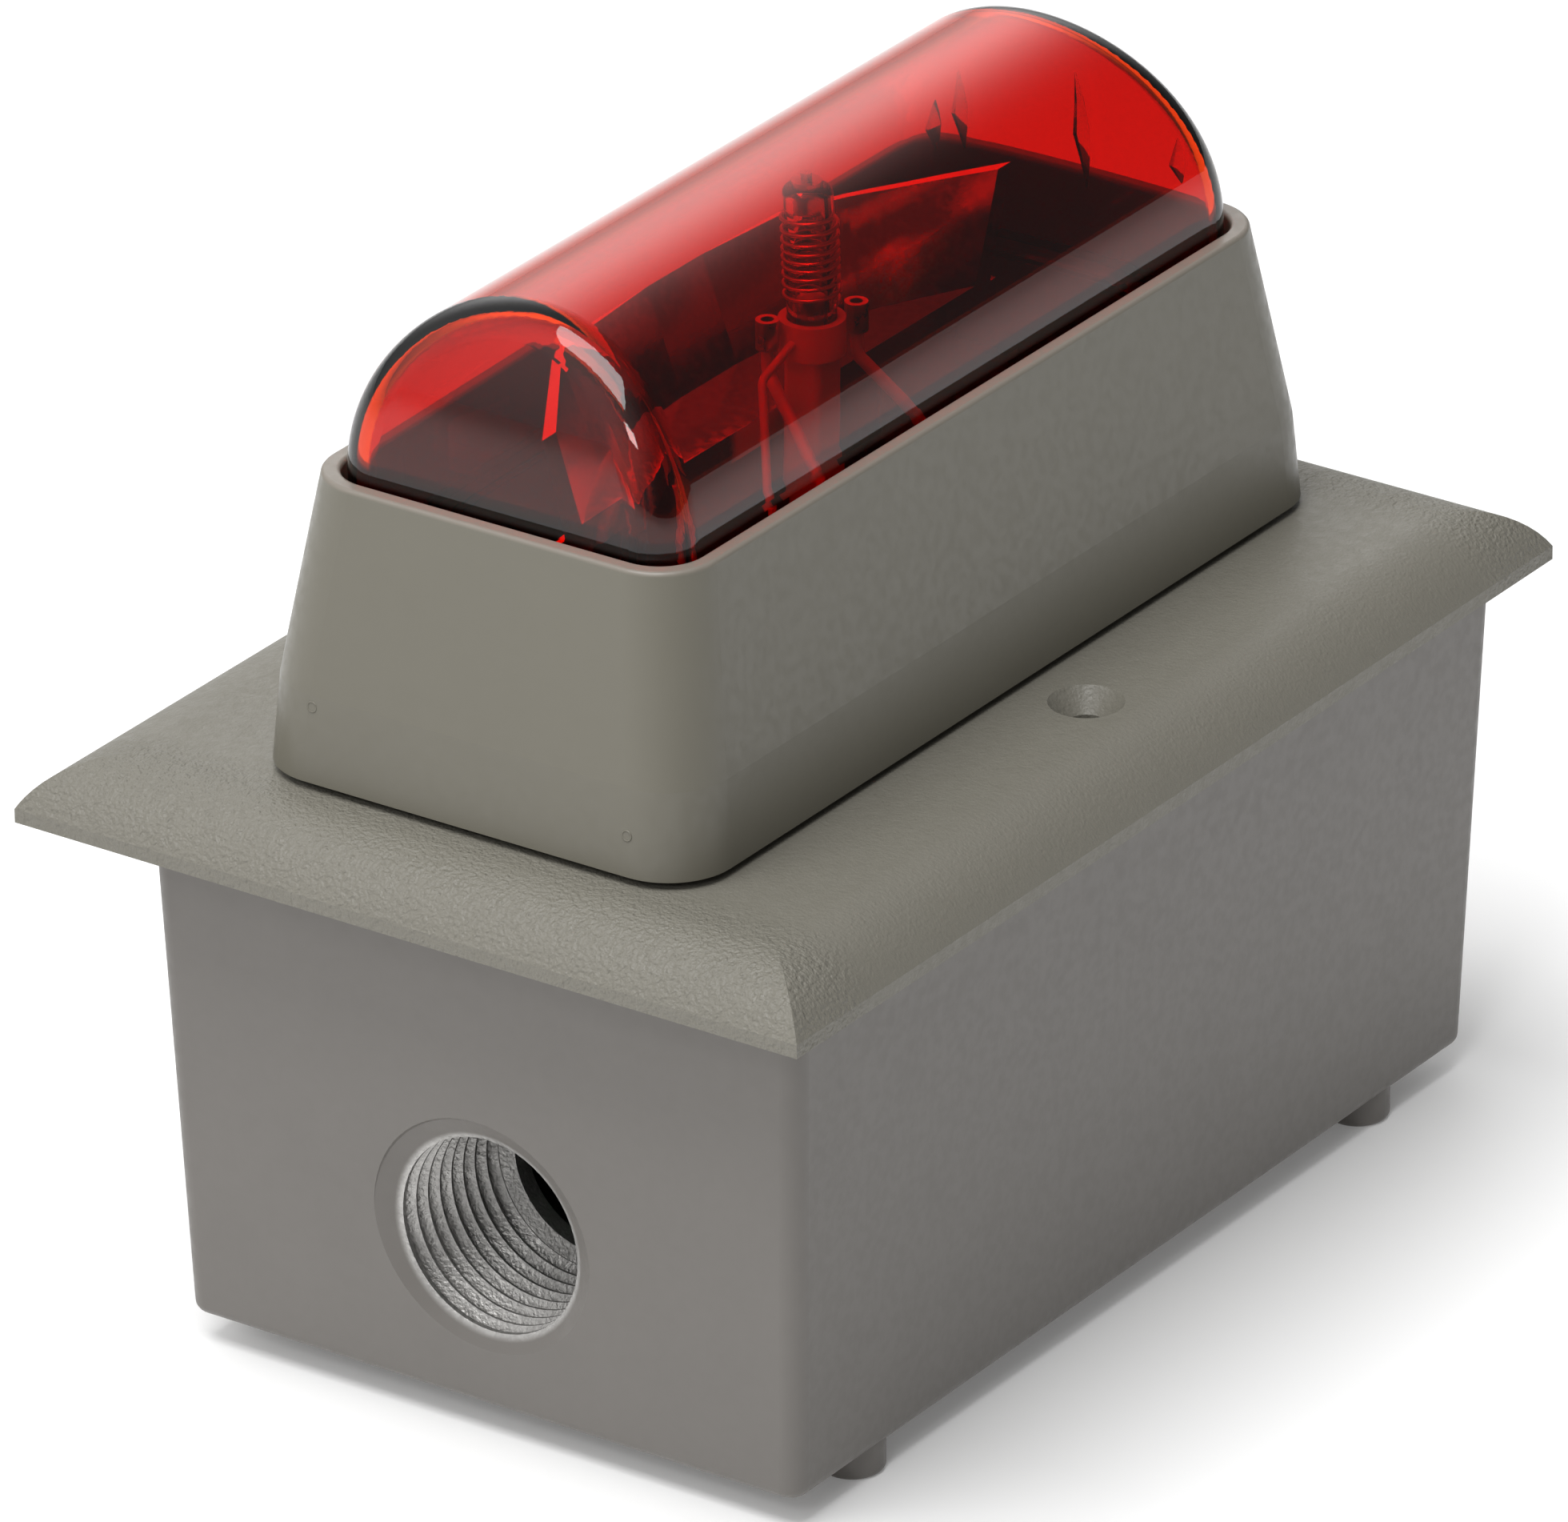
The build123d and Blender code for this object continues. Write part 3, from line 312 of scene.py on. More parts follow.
FINISHES: dict[str, Finish] = {
    f.name: f
    for f in (
        Finish("box_paint", (0.150, 0.139, 0.127), 0.42, 0.0, Grain.CAST, 0.30 * MM, 0.006 * MM),
        Finish("cover_plastic", (0.175, 0.166, 0.138), 0.50, mottle=0.03),
        Finish(
            "bezel_plastic", (0.146, 0.137, 0.108), 0.36, 0.0, Grain.MOULDED, 0.22 * MM, 0.003 * MM, 0.025
        ),
        Finish("red_lens", (0.76, 0.040, 0.001), 0.015, transmission=1.0, ior=1.49, mottle=0.0),
        Finish("gasket_rubber", (0.02, 0.02, 0.02), 0.75, 0.0, Grain.CAST, 0.3 * MM, 0.02 * MM),
        Finish("mirror_sheet", (0.86, 0.87, 0.88), 0.10, 1.0, Grain.BRUSHED, 0.2 * MM, 0.002 * MM),
        Finish("clear_glass", (0.95, 0.96, 0.97), 0.01, transmission=1.0, ior=1.47, mottle=0.0),
        Finish("zinc_steel", (0.60, 0.60, 0.58), 0.32, 1.0, Grain.BRUSHED, 0.12 * MM, 0.004 * MM),
        Finish("dark_steel", (0.10, 0.10, 0.11), 0.45, 1.0, Grain.CAST, 0.25 * MM, 0.01 * MM),
        Finish("green_screw", (0.03, 0.26, 0.09), 0.30, 0.7, Grain.CAST, 0.2 * MM, 0.006 * MM),
        Finish("copper", (0.62, 0.24, 0.10), 0.28, 0.9, Grain.BRUSHED, 0.1 * MM, 0.004 * MM),
        Finish("black_plastic", (0.022, 0.022, 0.024), 0.42, 0.0, Grain.MOULDED, 0.25 * MM, 0.012 * MM),
        Finish("white_plastic", (0.80, 0.78, 0.72), 0.38, 0.0, Grain.MOULDED, 0.3 * MM, 0.006 * MM),
        Finish("green_board", (0.02, 0.17, 0.06), 0.28, coat=0.4),
        Finish(
            "capacitor_sleeve", (0.03, 0.045, 0.12), 0.25, 0.0, Grain.MOULDED, 1.2 * MM, 0.01 * MM, coat=0.3
        ),
        Finish("resistor_body", (0.50, 0.36, 0.20), 0.35, 0.0, Grain.CAST, 0.4 * MM, 0.02 * MM, coat=0.4),
        Finish("lead_insulation", (0.66, 0.60, 0.52), 0.45, 0.0, Grain.MOULDED, 0.4 * MM, 0.006 * MM),
        Finish("terminal_plastic", (0.05, 0.22, 0.09), 0.40, 0.0, Grain.MOULDED, 0.25 * MM, 0.01 * MM),
        Finish("solder", (0.70, 0.70, 0.70), 0.22, 1.0, Grain.CAST, 0.5 * MM, 0.02 * MM),
        Finish("print_white", (0.82, 0.82, 0.80), 0.60),
        Finish("band_red", (0.50, 0.03, 0.02), 0.40),
        Finish("band_brown", (0.14, 0.05, 0.02), 0.40),
        Finish("band_gold", (0.55, 0.38, 0.10), 0.35, 0.6),
    )
}


class Paintbox:
    """Makes each material once and hands it out by name."""

    def __init__(self) -> None:
        """Starts with no materials made."""
        self.made: dict[str, bpy.types.Material] = {}

    def get(self, name: str) -> bpy.types.Material:
        """Returns the material of that name, making it if needed.

        Args:
            name: Finish name.

        Returns:
            The material.
        """
        if name not in self.made:
            special = {
                "box_paint": self.box_paint,
                "cover_plastic": self.cover_plastic,
                "bezel_plastic": self.bezel_plastic,
                "green_board": self.board_mask,
            }
            shader = base_shader(FINISHES[name])
            if name in special:
                special[name](shader)
            self.made[name] = shader.material
        return self.made[name]

    @staticmethod
    def box_paint(shader: Shader) -> None:
        """Baked paint with a soft orange peel, and bare cut metal in the conduit thread.

        Args:
            shader: The shader to add to.
        """
        x, y, z = shader.axes()
        across = shader.calc("SUBTRACT", x, ENTRY_CENTRE[0])
        up = shader.calc("SUBTRACT", z, ENTRY_CENTRE[1])
        squares = [shader.calc("MULTIPLY", side, side) for side in (across, up)]
        square = shader.calc("ADD", *squares)
        radius = shader.calc("SQRT", square)
        inside = shader.spread(radius, *ENTRY_BORE, 1.0, 0.0)
        near_end = shader.spread(y, *ENTRY_MOUTH, 0.0, 1.0)
        before_box = shader.spread(y, *ENTRY_INNER, 1.0, 0.0)
        bare = shader.calc("MULTIPLY", shader.calc("MULTIPLY", inside, near_end), before_box)
        paint = shader.bsdf.inputs["Base Color"].links[0].from_socket
        scratched = shader.mix_colour(shader.noise(0.5 * MM, 5.0), (0.30, 0.29, 0.28), (0.62, 0.61, 0.59))
        shader.drive("Base Color", shader.mix_colour(bare, paint, scratched))
        shader.drive("Metallic", shader.calc("MULTIPLY", bare, 0.85))
        matt = shader.bsdf.inputs["Roughness"].links[0].from_socket
        shader.drive("Roughness", shader.calc("SUBTRACT", matt, shader.calc("MULTIPLY", bare, 0.06)))
        shader.relief(shader.calc("MULTIPLY", shader.noise(0.35 * MM, 5.0), bare), 0.10 * MM)
        shader.relief(shader.noise(4.0 * MM, 2.0), 0.02 * MM)

    @staticmethod
    def cover_plastic(shader: Shader) -> None:
        """Moulded grain: coarse pebbles towards the conduit end, finer ones elsewhere.

        Args:
            shader: The shader to add to.
        """
        _, y, _ = shader.axes()
        coarse = shader.spread(shader.calc("ABSOLUTE", y), 49.0 * MM, 54.0 * MM, 0.25, 1.0)
        shader.relief(shader.calc("MULTIPLY", shader.noise(0.45 * MM, 1.5), coarse), 0.30 * MM)
        shader.relief(shader.noise(0.30 * MM, 2.0), 0.06 * MM)

    @staticmethod
    def bezel_plastic(shader: Shader) -> None:
        """Satin moulding, with a painted highlight that lightens its thin top rim.

        Args:
            shader: The shader to add to.
        """
        _, _, z = shader.axes()
        # Painted highlight: over the top rim's heights the colour is mixed towards a pale warm tone.
        rim = shader.spread(z, *BEZEL_RIM_HIGHLIGHT, 0.0, 0.55)
        plain = shader.bsdf.inputs["Base Color"].links[0].from_socket
        shader.drive("Base Color", shader.mix_colour(rim, plain, (0.27, 0.235, 0.205)))
        shader.relief(shader.noise(14.0 * MM, 1.0), 0.05 * MM)

    @staticmethod
    def board_mask(shader: Shader) -> None:
        """Solder mask over raised copper tracks.

        Args:
            shader: The shader to add to.
        """
        x, y, _ = shader.axes()
        bend = shader.calc("MULTIPLY", shader.calc("PINGPONG", y, 7.0 * MM), 0.6)
        lane = shader.calc("PINGPONG", shader.calc("ADD", x, bend), 1.3 * MM)
        track = shader.spread(lane, 0.75 * MM, 0.85 * MM, 0.0, 1.0)
        block = shader.spread(shader.noise(8.0 * MM, 0.0), 0.50, 0.51, 0.0, 1.0)
        copper = shader.calc("MULTIPLY", track, block)
        shader.drive("Base Color", shader.mix_colour(copper, (0.012, 0.12, 0.045), (0.03, 0.24, 0.08)))
        shader.relief(copper, 0.035 * MM)


def mesh_piece(
    name: str, points: list[Point], faces: list[tuple[int, ...]], smooth: bool = True
) -> bpy.types.Object:
    """Makes a mesh object from plain lists.

    Args:
        name: Piece name.
        points: Vertex places.
        faces: Vertex indices of each face.
        smooth: Whether it is shaded smooth.

    Returns:
        The new object, linked to the scene.
    """
    mesh = bpy.data.meshes.new(name)
    mesh.from_pydata(points, [], faces)
    mesh.validate()
    mesh.polygons.foreach_set("use_smooth", [smooth] * len(mesh.polygons))
    piece = bpy.data.objects.new(name, mesh)
    bpy.context.scene.collection.objects.link(piece)
    LOG.info("%s: %d faces", name, len(faces))
    return piece


def circle(centre: tuple[float, float], radius: float, height: float, count: int) -> list[Vector]:
    """Points on a level circle.

    Args:
        centre: Its x and y.
        radius: Its radius.
        height: Its z.
        count: Number of points.

    Returns:
        The points, without repeating the first.
    """
    x, y = centre
    turns = [2 * math.pi * k / count for k in range(count)]
    return [Vector((x + radius * math.cos(a), y + radius * math.sin(a), height)) for a in turns]


@dataclass(frozen=True)
class Coil:
    """A stack of closed turns of round wire, in millimetres apart from its centre and base.

    Attributes:
        centre: The axis's x and y, in metres.
        base: The height that the turns are counted from, in metres.
        radius: Radius of the turns' middle line.
        wire: Wire radius.
        first: Height of the lowest turn over the base.
        pitch: Distance from turn to turn.
        turns: Number of turns.
        points: Points round a turn.
    """

    centre: tuple[float, float]
    base: float
    radius: float
    wire: float
    first: float
    pitch: float
    turns: int
    points: int


@dataclass
class Soup:
    """Vertices and faces of one piece while it is being gathered."""

    points: list[Point] = field(default_factory=list)
    faces: list[tuple[int, ...]] = field(default_factory=list)

    def grid(self, rows: list[list[Vector]], looped: bool = False) -> None:
        """Adds a skin of quads through rows of points, each row a closed loop.

        Args:
            rows: Rows with the same number of points.
            looped: Whether the last row joins the first; if not, both are filled.
        """
        start, width = len(self.points), len(rows[0])
        for row in rows:
            self.points.extend(tuple(p) for p in row)
        for i in range(len(rows) - (0 if looped else 1)):
            below = (i + 1) % len(rows)
            for j in range(width):
                k = (j + 1) % width
                a, b = start + i * width, start + below * width
                self.faces.append((a + j, a + k, b + k, b + j))
        if not looped:
            self.faces.append(tuple(start + j for j in reversed(range(width))))
            self.faces.append(tuple(start + (len(rows) - 1) * width + j for j in range(width)))

    def tube(self, path: list[Vector], radius: float, sides: int = 8, closed: bool = False) -> None:
        """Adds a round tube along a path.

        Args:
            path: Points on the middle line.
            radius: Tube radius.
            sides: Facets round the tube.
            closed: Whether the path is a ring.
        """
        rows, side = [], None
        count = len(path)
        for i, point in enumerate(path):
            ahead = path[(i + 1) % count] if closed else path[min(i + 1, count - 1)]
            behind = path[i - 1] if closed else path[max(i - 1, 0)]
            along = (ahead - behind).normalized()
            if side is None:
                side = along.orthogonal().normalized()
            side = (side - along * side.dot(along)).normalized()
            other = along.cross(side)
            turn = [2 * math.pi * k / sides for k in range(sides)]
            rows.append([point + (side * math.cos(a) + other * math.sin(a)) * radius for a in turn])
        self.grid(rows, closed)

    def lathe(self, profile: list[tuple[float, float]], centre: Point, axis: Vector, sides: int) -> None:
        """Adds a turned solid; the profile runs from pole to pole as (radius, height along the axis).

        Args:
            profile: Outline points.
            centre: Where height 0 lies.
            axis: Direction of the heights.
            sides: Facets round the axis.
        """
        frame = axis.to_track_quat("Z", "Y").to_matrix()
        rings = [circle((0.0, 0.0), radius, height, sides) for radius, height in profile]
        self.grid([[Vector(centre) + frame @ point for point in ring] for ring in rings])

    def brick(self, low: Point, high: Point) -> None:
        """Adds a box between two corners.

        Args:
            low: Lowest corner.
            high: Highest corner.
        """
        (x0, y0, z0), (x1, y1, z1) = low, high
        corners = ((x0, y0), (x1, y0), (x1, y1), (x0, y1))
        self.grid([[Vector((x, y, z)) for x, y in corners] for z in (z0, z1)])

    def winding(self, coil: Coil) -> None:
        """Adds the turns of a coil.

        Args:
            coil: The coil.
        """
        for layer in range(coil.turns):
            height = coil.base + (coil.first + layer * coil.pitch) * MM
            ring = circle(coil.centre, coil.radius * MM, height, coil.points)
            self.tube(ring, coil.wire * MM, closed=True)

    def finish(
        self, name: str, paint: bpy.types.Material, slot: str, smooth: bool = True
    ) -> bpy.types.Object:
        """Turns what was gathered into a piece that moves with the head.

        Args:
            name: Piece name.
            paint: Its material.
            slot: Not used.
            smooth: Whether it is shaded smooth.

        Returns:
            The new piece.
        """
        piece = mesh_piece(name, self.points, self.faces, smooth)
        piece.data.materials.append(paint)
        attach(piece, HEAD)
        return piece


@dataclass
class Assembly:
    """A group of frame nodes that share a place in the object."""

    nodes: dict
    paints: Paintbox

    def dress(self, **finishes: str) -> None:
        """Gives nodes their finishes.

        Args:
            finishes: Finish name for each node.
        """
        for name, finish in finishes.items():
            node = self.nodes[name]
            node.data.materials.clear()
            node.data.materials.append(self.paints.get(finish))
            LOG.info("%s takes %s", name, finish)


@dataclass
class Backbox(Assembly):
    """The cast box with its conduit entry, feet and earthing screw."""

    def build(self) -> None:
        """Dresses the box and its screw."""
        self.dress(backbox="box_paint", ground_screw="green_screw")


@dataclass
class Housing(Assembly):
    """The cover plate and the tapered bezel on it, with sizes in millimetres.

    Attributes:
        marks: Each moulding mark's distance from the middle and its height.
        end: Half the bezel's length at the height that follows it, near the foot.
        taper: How far each end leans in, over the height that follows it.
        lean: Rise of the end face's outward direction.
        sink: How far a mark's base lies inside the end face.
        ring: A mark's outline, as pairs of a radius and a height.
    """

    marks: tuple[tuple[float, float], ...] = ((17.5, 64.8), (-17.0, 68.2))
    end: tuple[float, float] = (51.9, 60.9)
    taper: tuple[float, float] = (0.65, 8.4)
    lean: float = 0.077
    sink: float = 0.05
    ring: tuple[tuple[float, float], ...] = (
        (0.02, -0.02),
        (0.36, -0.02),
        (0.40, 0.09),
        (0.52, 0.11),
        (0.60, -0.02),
    )

    def build(self) -> None:
        """Dresses the housing and adds the moulding marks near the bezel's foot."""
        self.dress(
            cover_plate="cover_plastic",
            cover_gasket="gasket_rubber",
            bezel="bezel_plastic",
            clamp_screws="zinc_steel",
        )
        self.moulding_marks()

    def moulding_marks(self) -> None:
        """Small proud rings left by the mould on the bezel's short ends."""
        (half_length, foot), (run, rise) = self.end, self.taper
        profile = [(r * MM, h * MM) for r, h in self.ring]
        soup = Soup()
        for x, z in self.marks:
            reach = half_length - (z - foot) / rise * run - self.sink
            for side in (-1, 1):
                centre = (-side * x * MM, side * reach * MM, z * MM)
                soup.lathe(profile, centre, Vector((0, side, self.lean)).normalized(), 24)
        soup.finish("bezel_moulding_marks", self.paints.get("bezel_plastic"), "bezel_plastic")


@dataclass
class Strobe(Assembly):
    """The lens and everything that shows through it, with sizes in millimetres.

    Attributes:
        turns: Turns of the trigger helix.
        span: Heights of the helix's lower and upper end.
        lead: How far the wire runs on below the lower end.
        wire: Radius of the wire.
        gap: From the glass to the wire's middle line.
        fins: Each lens fin's x, middle height and length.
        section: A fin's half thickness at shares of its half length.
        root: y of the fins' roots at the height of the lens's rim.
        rim: Height of the lens's rim.
        end_bow: Radius in which the lens's ends curve inwards over the rim.
    """

    turns: int = 9
    span: tuple[float, float] = (93.0, 101.4)
    lead: float = 0.7
    wire: float = 0.2
    gap: float = 0.24
    fins: tuple[Point, ...] = (
        (-15.0, 90.9, 5.6),
        (-11.8, 93.2, 8.4),
        (2.0, 94.1, 12.0),
        (12.4, 93.6, 4.6),
    )
    section: tuple[tuple[float, float], ...] = (
        (-1.0, 0.05),
        (-0.5, 0.35),
        (0.0, 0.55),
        (0.5, 0.35),
        (1.0, 0.05),
    )
    root: float = 44.02
    rim: float = 88.8
    end_bow: float = 38.0

    def build(self) -> None:
        """Dresses the strobe and adds the trigger helix and the lens's inner fins."""
        self.dress(
            lens="red_lens",
            lens_gasket="gasket_rubber",
            strobe_chassis="black_plastic",
            reflector="mirror_sheet",
            tube_post="white_plastic",
            flash_tube="clear_glass",
            tube_electrodes="zinc_steel",
            tube_clips="zinc_steel",
            tube_leads="lead_insulation",
        )
        self.trigger_helix()
        self.lens_fins()

    def trigger_helix(self) -> None:
        """The fine wire wound round the flash tube, its turns a little closer in the middle than at the ends,
        with a short lead below.
        """
        low, high = (height * MM for height in self.span)
        steps, radius = 24, TUBE_WALL + self.gap * MM
        path = []
        for i in range(self.turns * steps + 1):
            share = i / (self.turns * steps)
            eased = share + 0.03 * math.sin(2 * math.pi * share)
            angle = 2 * math.pi * i / steps
            x, y = TUBE_CENTRE[0] + radius * math.cos(angle), TUBE_CENTRE[1] + radius * math.sin(angle)
            path.append(Vector((x, y, low + (high - low) * eased)))
        path.insert(0, Vector((path[0].x, path[0].y, low - self.lead * MM)))
        soup = Soup()
        soup.tube(path, self.wire * MM)
        helix = soup.finish("trigger_helix", self.paints.get("zinc_steel"), "zinc_steel")
        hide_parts("trigger_wire")

    def lens_fins(self) -> None:
        """Slender blades moulded inside the lens's far end."""
        soup = Soup()
        for x, z, height in self.fins:
            rows = []
            for share, thick in self.section:
                level = z + share * height / 2
                sag = self.end_bow - math.sqrt(self.end_bow**2 - max(level - self.rim, 0.0) ** 2)
                mid = Vector((x * MM, (self.root - sag) * MM, level * MM))
                reach = 1.5 * (1 - abs(share)) + 0.15
                row = [(-thick, 0.0), (thick, 0.0), (thick * 0.4, -reach), (-thick * 0.4, -reach)]
                rows.append([mid + Vector((a * MM, b * MM, 0)) for a, b in row])
            soup.grid(rows)
        soup.finish("lens_inner_fins", self.paints.get("red_lens"), "red_lens", smooth=False)


@dataclass
class Electronics(Assembly):
    """The board that hangs under the cover, with its parts and with sizes in millimetres.

    Attributes:
        coil: The winding between the inductor's flanges.
        dome: A solder joint's outline, as pairs of a radius and a height under the board.
        rings: Each resistor band's place along the body, its finish and its label.
        outlines: Each printed outline's middle x and y, its width and its length.
        line: Half the width of a printed line.
        stripe: The capacitor stripe's radius on the sleeve, and its start and end along y.
    """

    coil: Coil = Coil((19.5 * MM, -17.0 * MM), BOARD_TOP, 4.3, 0.24, 1.65, 0.5, 13, 36)
    dome: tuple[tuple[float, float], ...] = (
        (0.95, -0.02),
        (0.80, 0.16),
        (0.50, 0.42),
        (0.30, 0.80),
        (0.05, 0.95),
    )
    rings: tuple[tuple[float, str, str], ...] = (
        (-2.0, "band_brown", "first"),
        (-1.0, "band_red", "second"),
        (0.0, "band_brown", "third"),
        (1.9, "band_gold", "last"),
    )
    outlines: tuple[tuple[float, float, float, float], ...] = (
        (0.0, -24.0, 22.0, 10.4),
        (14.0, -6.0, 7.4, 15.4),
        (-14.0, -6.0, 8.4, 8.4),
        (19.0, 18.0, 12.0, 20.0),
    )
    line: float = 0.14
    stripe: tuple[float, float, float] = (6.25, -31.4, -9.6)

    def build(self) -> None:
        """Dresses the board and adds windings, solder, bands and print."""
        self.dress(
            circuit_board="green_board",
            board_screws="zinc_steel",
            flash_capacitor="capacitor_sleeve",
            trigger_transformer="black_plastic",
            boost_inductor="dark_steel",
            switch_transistor="black_plastic",
            control_chip="black_plastic",
            resistors="resistor_body",
            diodes="black_plastic",
            terminal_block="terminal_plastic",
            terminal_screws="zinc_steel",
            selector_body="black_plastic",
            selector_knob="white_plastic",
            trimmer_body="black_plastic",
            trimmer_rotor="white_plastic",
        )
        self.inductor_winding()
        self.solder()
        self.bands()
        self.print_marks()
        self.capacitor_stripe()

    def inductor_winding(self) -> None:
        """Turns of enamelled wire between the drum's flanges."""
        soup = Soup()
        soup.winding(self.coil)
        soup.finish("inductor_winding", self.paints.get("copper"), "copper")

    def solder(self) -> None:
        """Domed joints on the board's wiring side."""
        places = [(8.0, -34.5), (15.0, -34.5), (8.0, -27.5), (15.0, -27.5)]
        places += [(19.5, -38.4), (22.0, -38.4), (24.5, -38.4), (-21.5, -36.7), (-16.5, -36.7)]
        places += [(9.0, -13.0), (9.0, -20.0), (4.2, -16.0), (3.0, -2.4), (-3.0, -2.4)]
        places += [(-10.3 + i * 2.54, -40.0 + s * 3.5) for i in range(4) for s in (-1, 1)]
        places += [(0.8, -39.8 - r * 3.1) for r in range(3)] + [(8.0, -39.8 - r * 3.1) for r in range(3)]
        profile = [(r * MM, h * MM) for r, h in self.dome]
        soup = Soup()
        for x, y in places:
            soup.lathe(profile, (x * MM, y * MM, BOARD_UNDER), DOWN, 14)
        soup.finish("solder_joints", self.paints.get("solder"), "zinc_steel")

    def bands(self) -> None:
        """Coloured bands on the resistors and a pale one on each diode."""
        z, radius = BOARD_TOP + 1.35 * MM, 1.19 * MM
        for offset, paint, label in self.rings:
            soup = Soup()
            for row in range(4):
                centre = ((-1.5 + offset) * MM, (-31.5 + row * 4.2) * MM, z)
                soup.lathe([(radius, -0.22 * MM), (radius, 0.22 * MM)], centre, ALONG_X, 24)
            soup.finish(f"resistor_band_{label}", self.paints.get(paint), "resistor_body")
        soup = Soup()
        for row in range(3):
            centre = (2.6 * MM, (-39.8 - row * 3.1) * MM, BOARD_TOP + 1.2 * MM)
            soup.lathe([(1.04 * MM, -0.3 * MM), (1.04 * MM, 0.3 * MM)], centre, ALONG_X, 24)
        soup.finish("diode_bands", self.paints.get("print_white"), "white_plastic")

    def print_marks(self) -> None:
        """Printed outlines on the board's wiring side: terminal, selector, trimmer and a spare field."""
        soup = Soup()
        width, low, high = self.line, BOARD_UNDER - 0.03 * MM, BOARD_UNDER + 0.005 * MM
        for x, y, across, along in self.outlines:
            reach = across / 2 - width - 0.02
            for side in (-1, 1):
                edge_x, edge_y = x + side * across / 2, y + side * along / 2
                strips = (
                    (edge_x - width, y - along / 2, edge_x + width, y + along / 2),
                    (x - reach, edge_y - width, x + reach, edge_y + width),
                )
                for x0, y0, x1, y1 in strips:
                    soup.brick((x0 * MM, y0 * MM, low), (x1 * MM, y1 * MM, high))
        soup.finish("board_print", self.paints.get("print_white"), "white_plastic", smooth=False)

    def capacitor_stripe(self) -> None:
        """The pale polarity stripe along the capacitor's sleeve."""
        centre = (-19.0, BOARD_TOP / MM + 6.4)
        radius, start, end = self.stripe
        rows = []
        for y in (start, end):
            outer, inner = [], []
            for k in range(9):
                angle = math.radians(20 + k * 5)
                for group, r in ((outer, radius + 0.05), (inner, radius - 0.03)):
                    x, z = centre[0] + r * math.cos(angle), centre[1] + r * math.sin(angle)
                    group.append(Vector((x * MM, y * MM, z * MM)))
            rows.append(outer + inner[::-1])
        soup = Soup()
        soup.grid(rows)
        soup.finish("capacitor_stripe", self.paints.get("print_white"), "white_plastic")


@dataclass
class Horn(Assembly):
    """The sounder under the cover: cup, magnet, winding and diaphragm.

    Attributes:
        coil: The winding round the core.
    """

    coil: Coil = Coil(HORN_CENTRE, 0.0, 8.4, 0.22, 45.65, 0.46, 9, 48)

    def build(self) -> None:
        """Dresses the horn and adds its winding."""
        self.dress(
            horn_frame="dark_steel",
            horn_ring="zinc_steel",
            horn_screws="zinc_steel",
            horn_core="dark_steel",
            horn_coil="white_plastic",
            horn_magnet="dark_steel",
            horn_leads="lead_insulation",
            diaphragm="zinc_steel",
            armature="dark_steel",
        )
        soup = Soup()
        soup.winding(self.coil)
        soup.finish("horn_coil_winding", self.paints.get("copper"), "copper")


@dataclass(frozen=True)
class Softbox:
    """One area light of the studio.

    Attributes:
        name: Light name.
        place: Where it stands, in metres.
        size: Width and height in metres.
        power: Watts.
        target: What it points at.
    """

    name: str
    place: Point
    size: tuple[float, float]
    power: float
    target: Point = (0.0, 0.0, 0.06)

    def build(self) -> None:
        """Adds the light to the scene."""
        light = bpy.data.lights.new(self.name, "AREA")
        light.shape = "RECTANGLE"
        light.size, light.size_y = self.size
        light.energy = self.power
        lamp = bpy.data.objects.new(self.name, light)
        aim = Vector(self.target) - Vector(self.place)
        lamp.matrix_world = Matrix.Translation(self.place) @ aim.to_track_quat("-Z", "Y").to_matrix().to_4x4()
        bpy.context.scene.collection.objects.link(lamp)


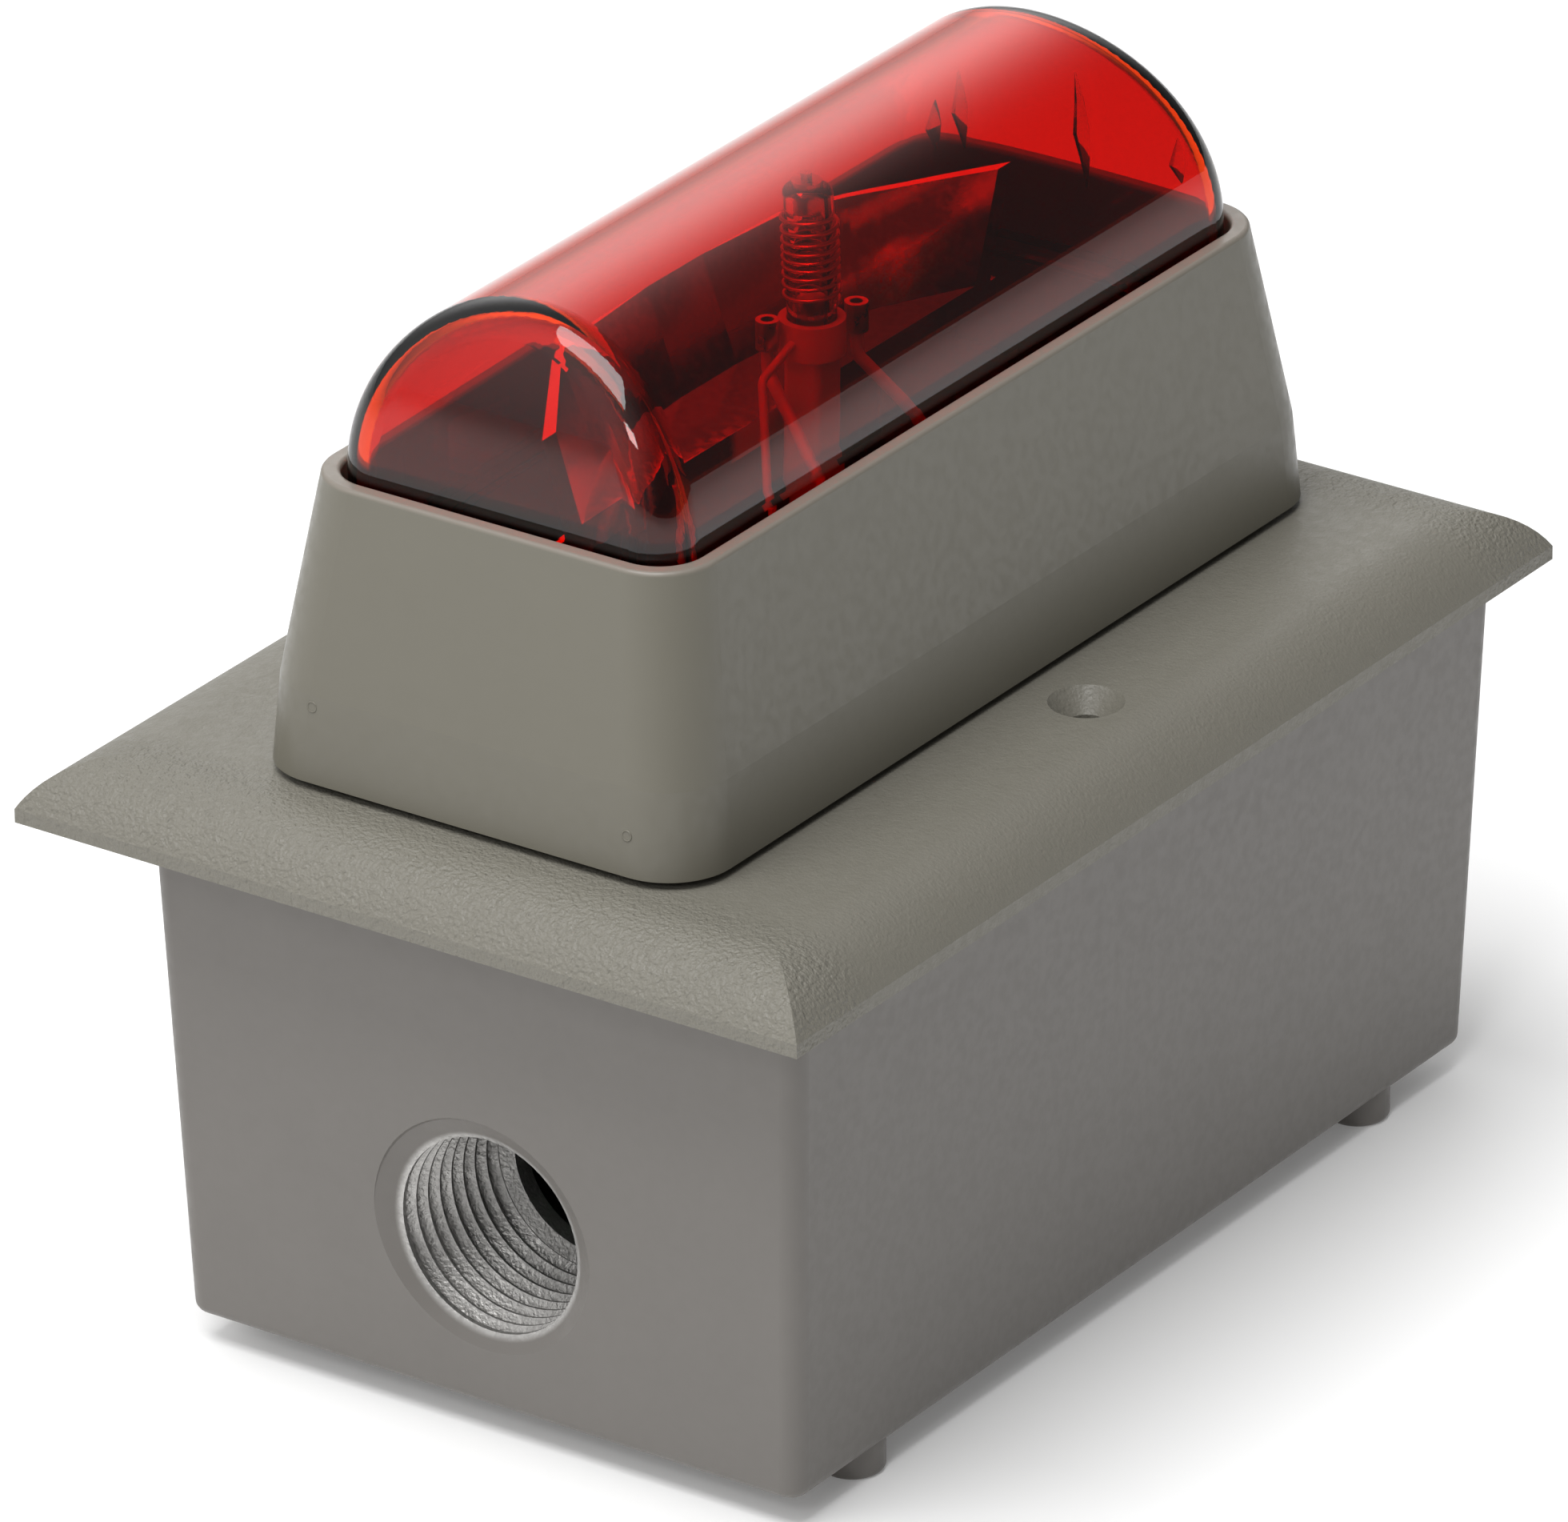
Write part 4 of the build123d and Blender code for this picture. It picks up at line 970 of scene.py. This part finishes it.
@dataclass
class Studio:
    """Floor, soft surrounding light and camera.

    Attributes:
        base: Brightness of the room from every side.
        lobes: Brighter parts of the room, each a direction, a strength and a tightness.
        floor_half: Half the floor's side, in metres.
        floor_glow: Light that the floor gives off by itself, which keeps it pale in the shadow.
    """

    base: float = 0.12
    lobes: tuple[tuple[Point, float, float], ...] = (
        ((-0.50, -0.58, 0.64), 1.0, 2.0),
        ((-0.57, 0.70, 0.42), 1.7, 14.0),
    )
    floor_half: float = 30.0
    floor_glow: float = 0.12

    def build(self) -> None:
        """Sets up the whole studio."""
        self.floor()
        self.surroundings()
        Softbox("front_window", (0.42, -1.15, 0.95), (0.30, 0.22), 2.0).build()
        Softbox("overhead", (-0.02, -0.40, 1.30), (0.9, 0.8), 15.0).build()
        self.camera()

    def floor(self) -> None:
        """A plain pale floor."""
        half = self.floor_half
        corners = [(-half, -half, 0.0), (half, -half, 0.0), (half, half, 0.0), (-half, half, 0.0)]
        floor = mesh_piece("studio_floor", corners, [(0, 1, 2, 3)], smooth=False)
        shader = Shader("studio_white")
        inputs = shader.bsdf.inputs
        inputs["Base Color"].default_value = (0.90, 0.90, 0.90, 1.0)
        inputs["Roughness"].default_value = 0.9
        inputs["Specular IOR Level"].default_value = 0.1
        inputs["Emission Color"].default_value = (1.0, 1.0, 1.0, 1.0)
        inputs["Emission Strength"].default_value = self.floor_glow
        floor.data.materials.append(shader.material)

    def surroundings(self) -> None:
        """A white room, brighter from the front left and from behind."""
        world = bpy.data.worlds.new("studio")
        bpy.context.scene.world = world
        world.use_nodes = True
        tree = world.node_tree
        background = next(n for n in tree.nodes if n.type == "BACKGROUND")
        background.inputs["Color"].default_value = (1.0, 1.0, 1.0, 1.0)
        coordinates = tree.nodes.new("ShaderNodeTexCoord")
        total = None
        for direction, strength, tightness in self.lobes:
            dot = tree.nodes.new("ShaderNodeVectorMath")
            dot.operation = "DOT_PRODUCT"
            dot.inputs[1].default_value = Vector(direction).normalized()
            tree.links.new(coordinates.outputs["Generated"], dot.inputs[0])
            value = dot.outputs["Value"]
            for operation, number in (("MAXIMUM", 0.0), ("POWER", tightness), ("MULTIPLY", strength)):
                step = tree.nodes.new("ShaderNodeMath")
                step.operation = operation
                step.inputs[1].default_value = number
                tree.links.new(value, step.inputs[0])
                value = step.outputs[0]
            add = tree.nodes.new("ShaderNodeMath")
            add.operation = "ADD"
            add.inputs[1].default_value = self.base
            tree.links.new(value, add.inputs[0])
            if total is not None:
                tree.links.new(total, add.inputs[1])
            total = add.outputs[0]
        tree.links.new(total, background.inputs["Strength"])

    @staticmethod
    def camera() -> None:
        """A long lens from the front right, a little above the object."""
        data = bpy.data.cameras.new("main_camera")
        data.sensor_width, data.lens = CAMERA_SENSOR, CAMERA_LENS
        data.shift_x, data.shift_y = CAMERA_SHIFT
        data.clip_start, data.clip_end = 0.05, 100.0
        camera = bpy.data.objects.new("main_camera", data)
        camera.matrix_world = Matrix.Translation(CAMERA_PLACE) @ Matrix(CAMERA_AXES).to_4x4()
        bpy.context.scene.collection.objects.link(camera)
        bpy.context.scene.camera = camera
        bpy.context.scene.view_settings.view_transform = "Standard"


def main() -> None:
    """Loads the frame, dresses every sub-assembly and sets up the studio."""
    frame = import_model()
    paints = Paintbox()
    for assembly in (Backbox, Housing, Strobe, Electronics, Horn):
        assembly(frame["nodes"], paints).build()
    Studio().build()


if __name__ == "__main__":
    main()
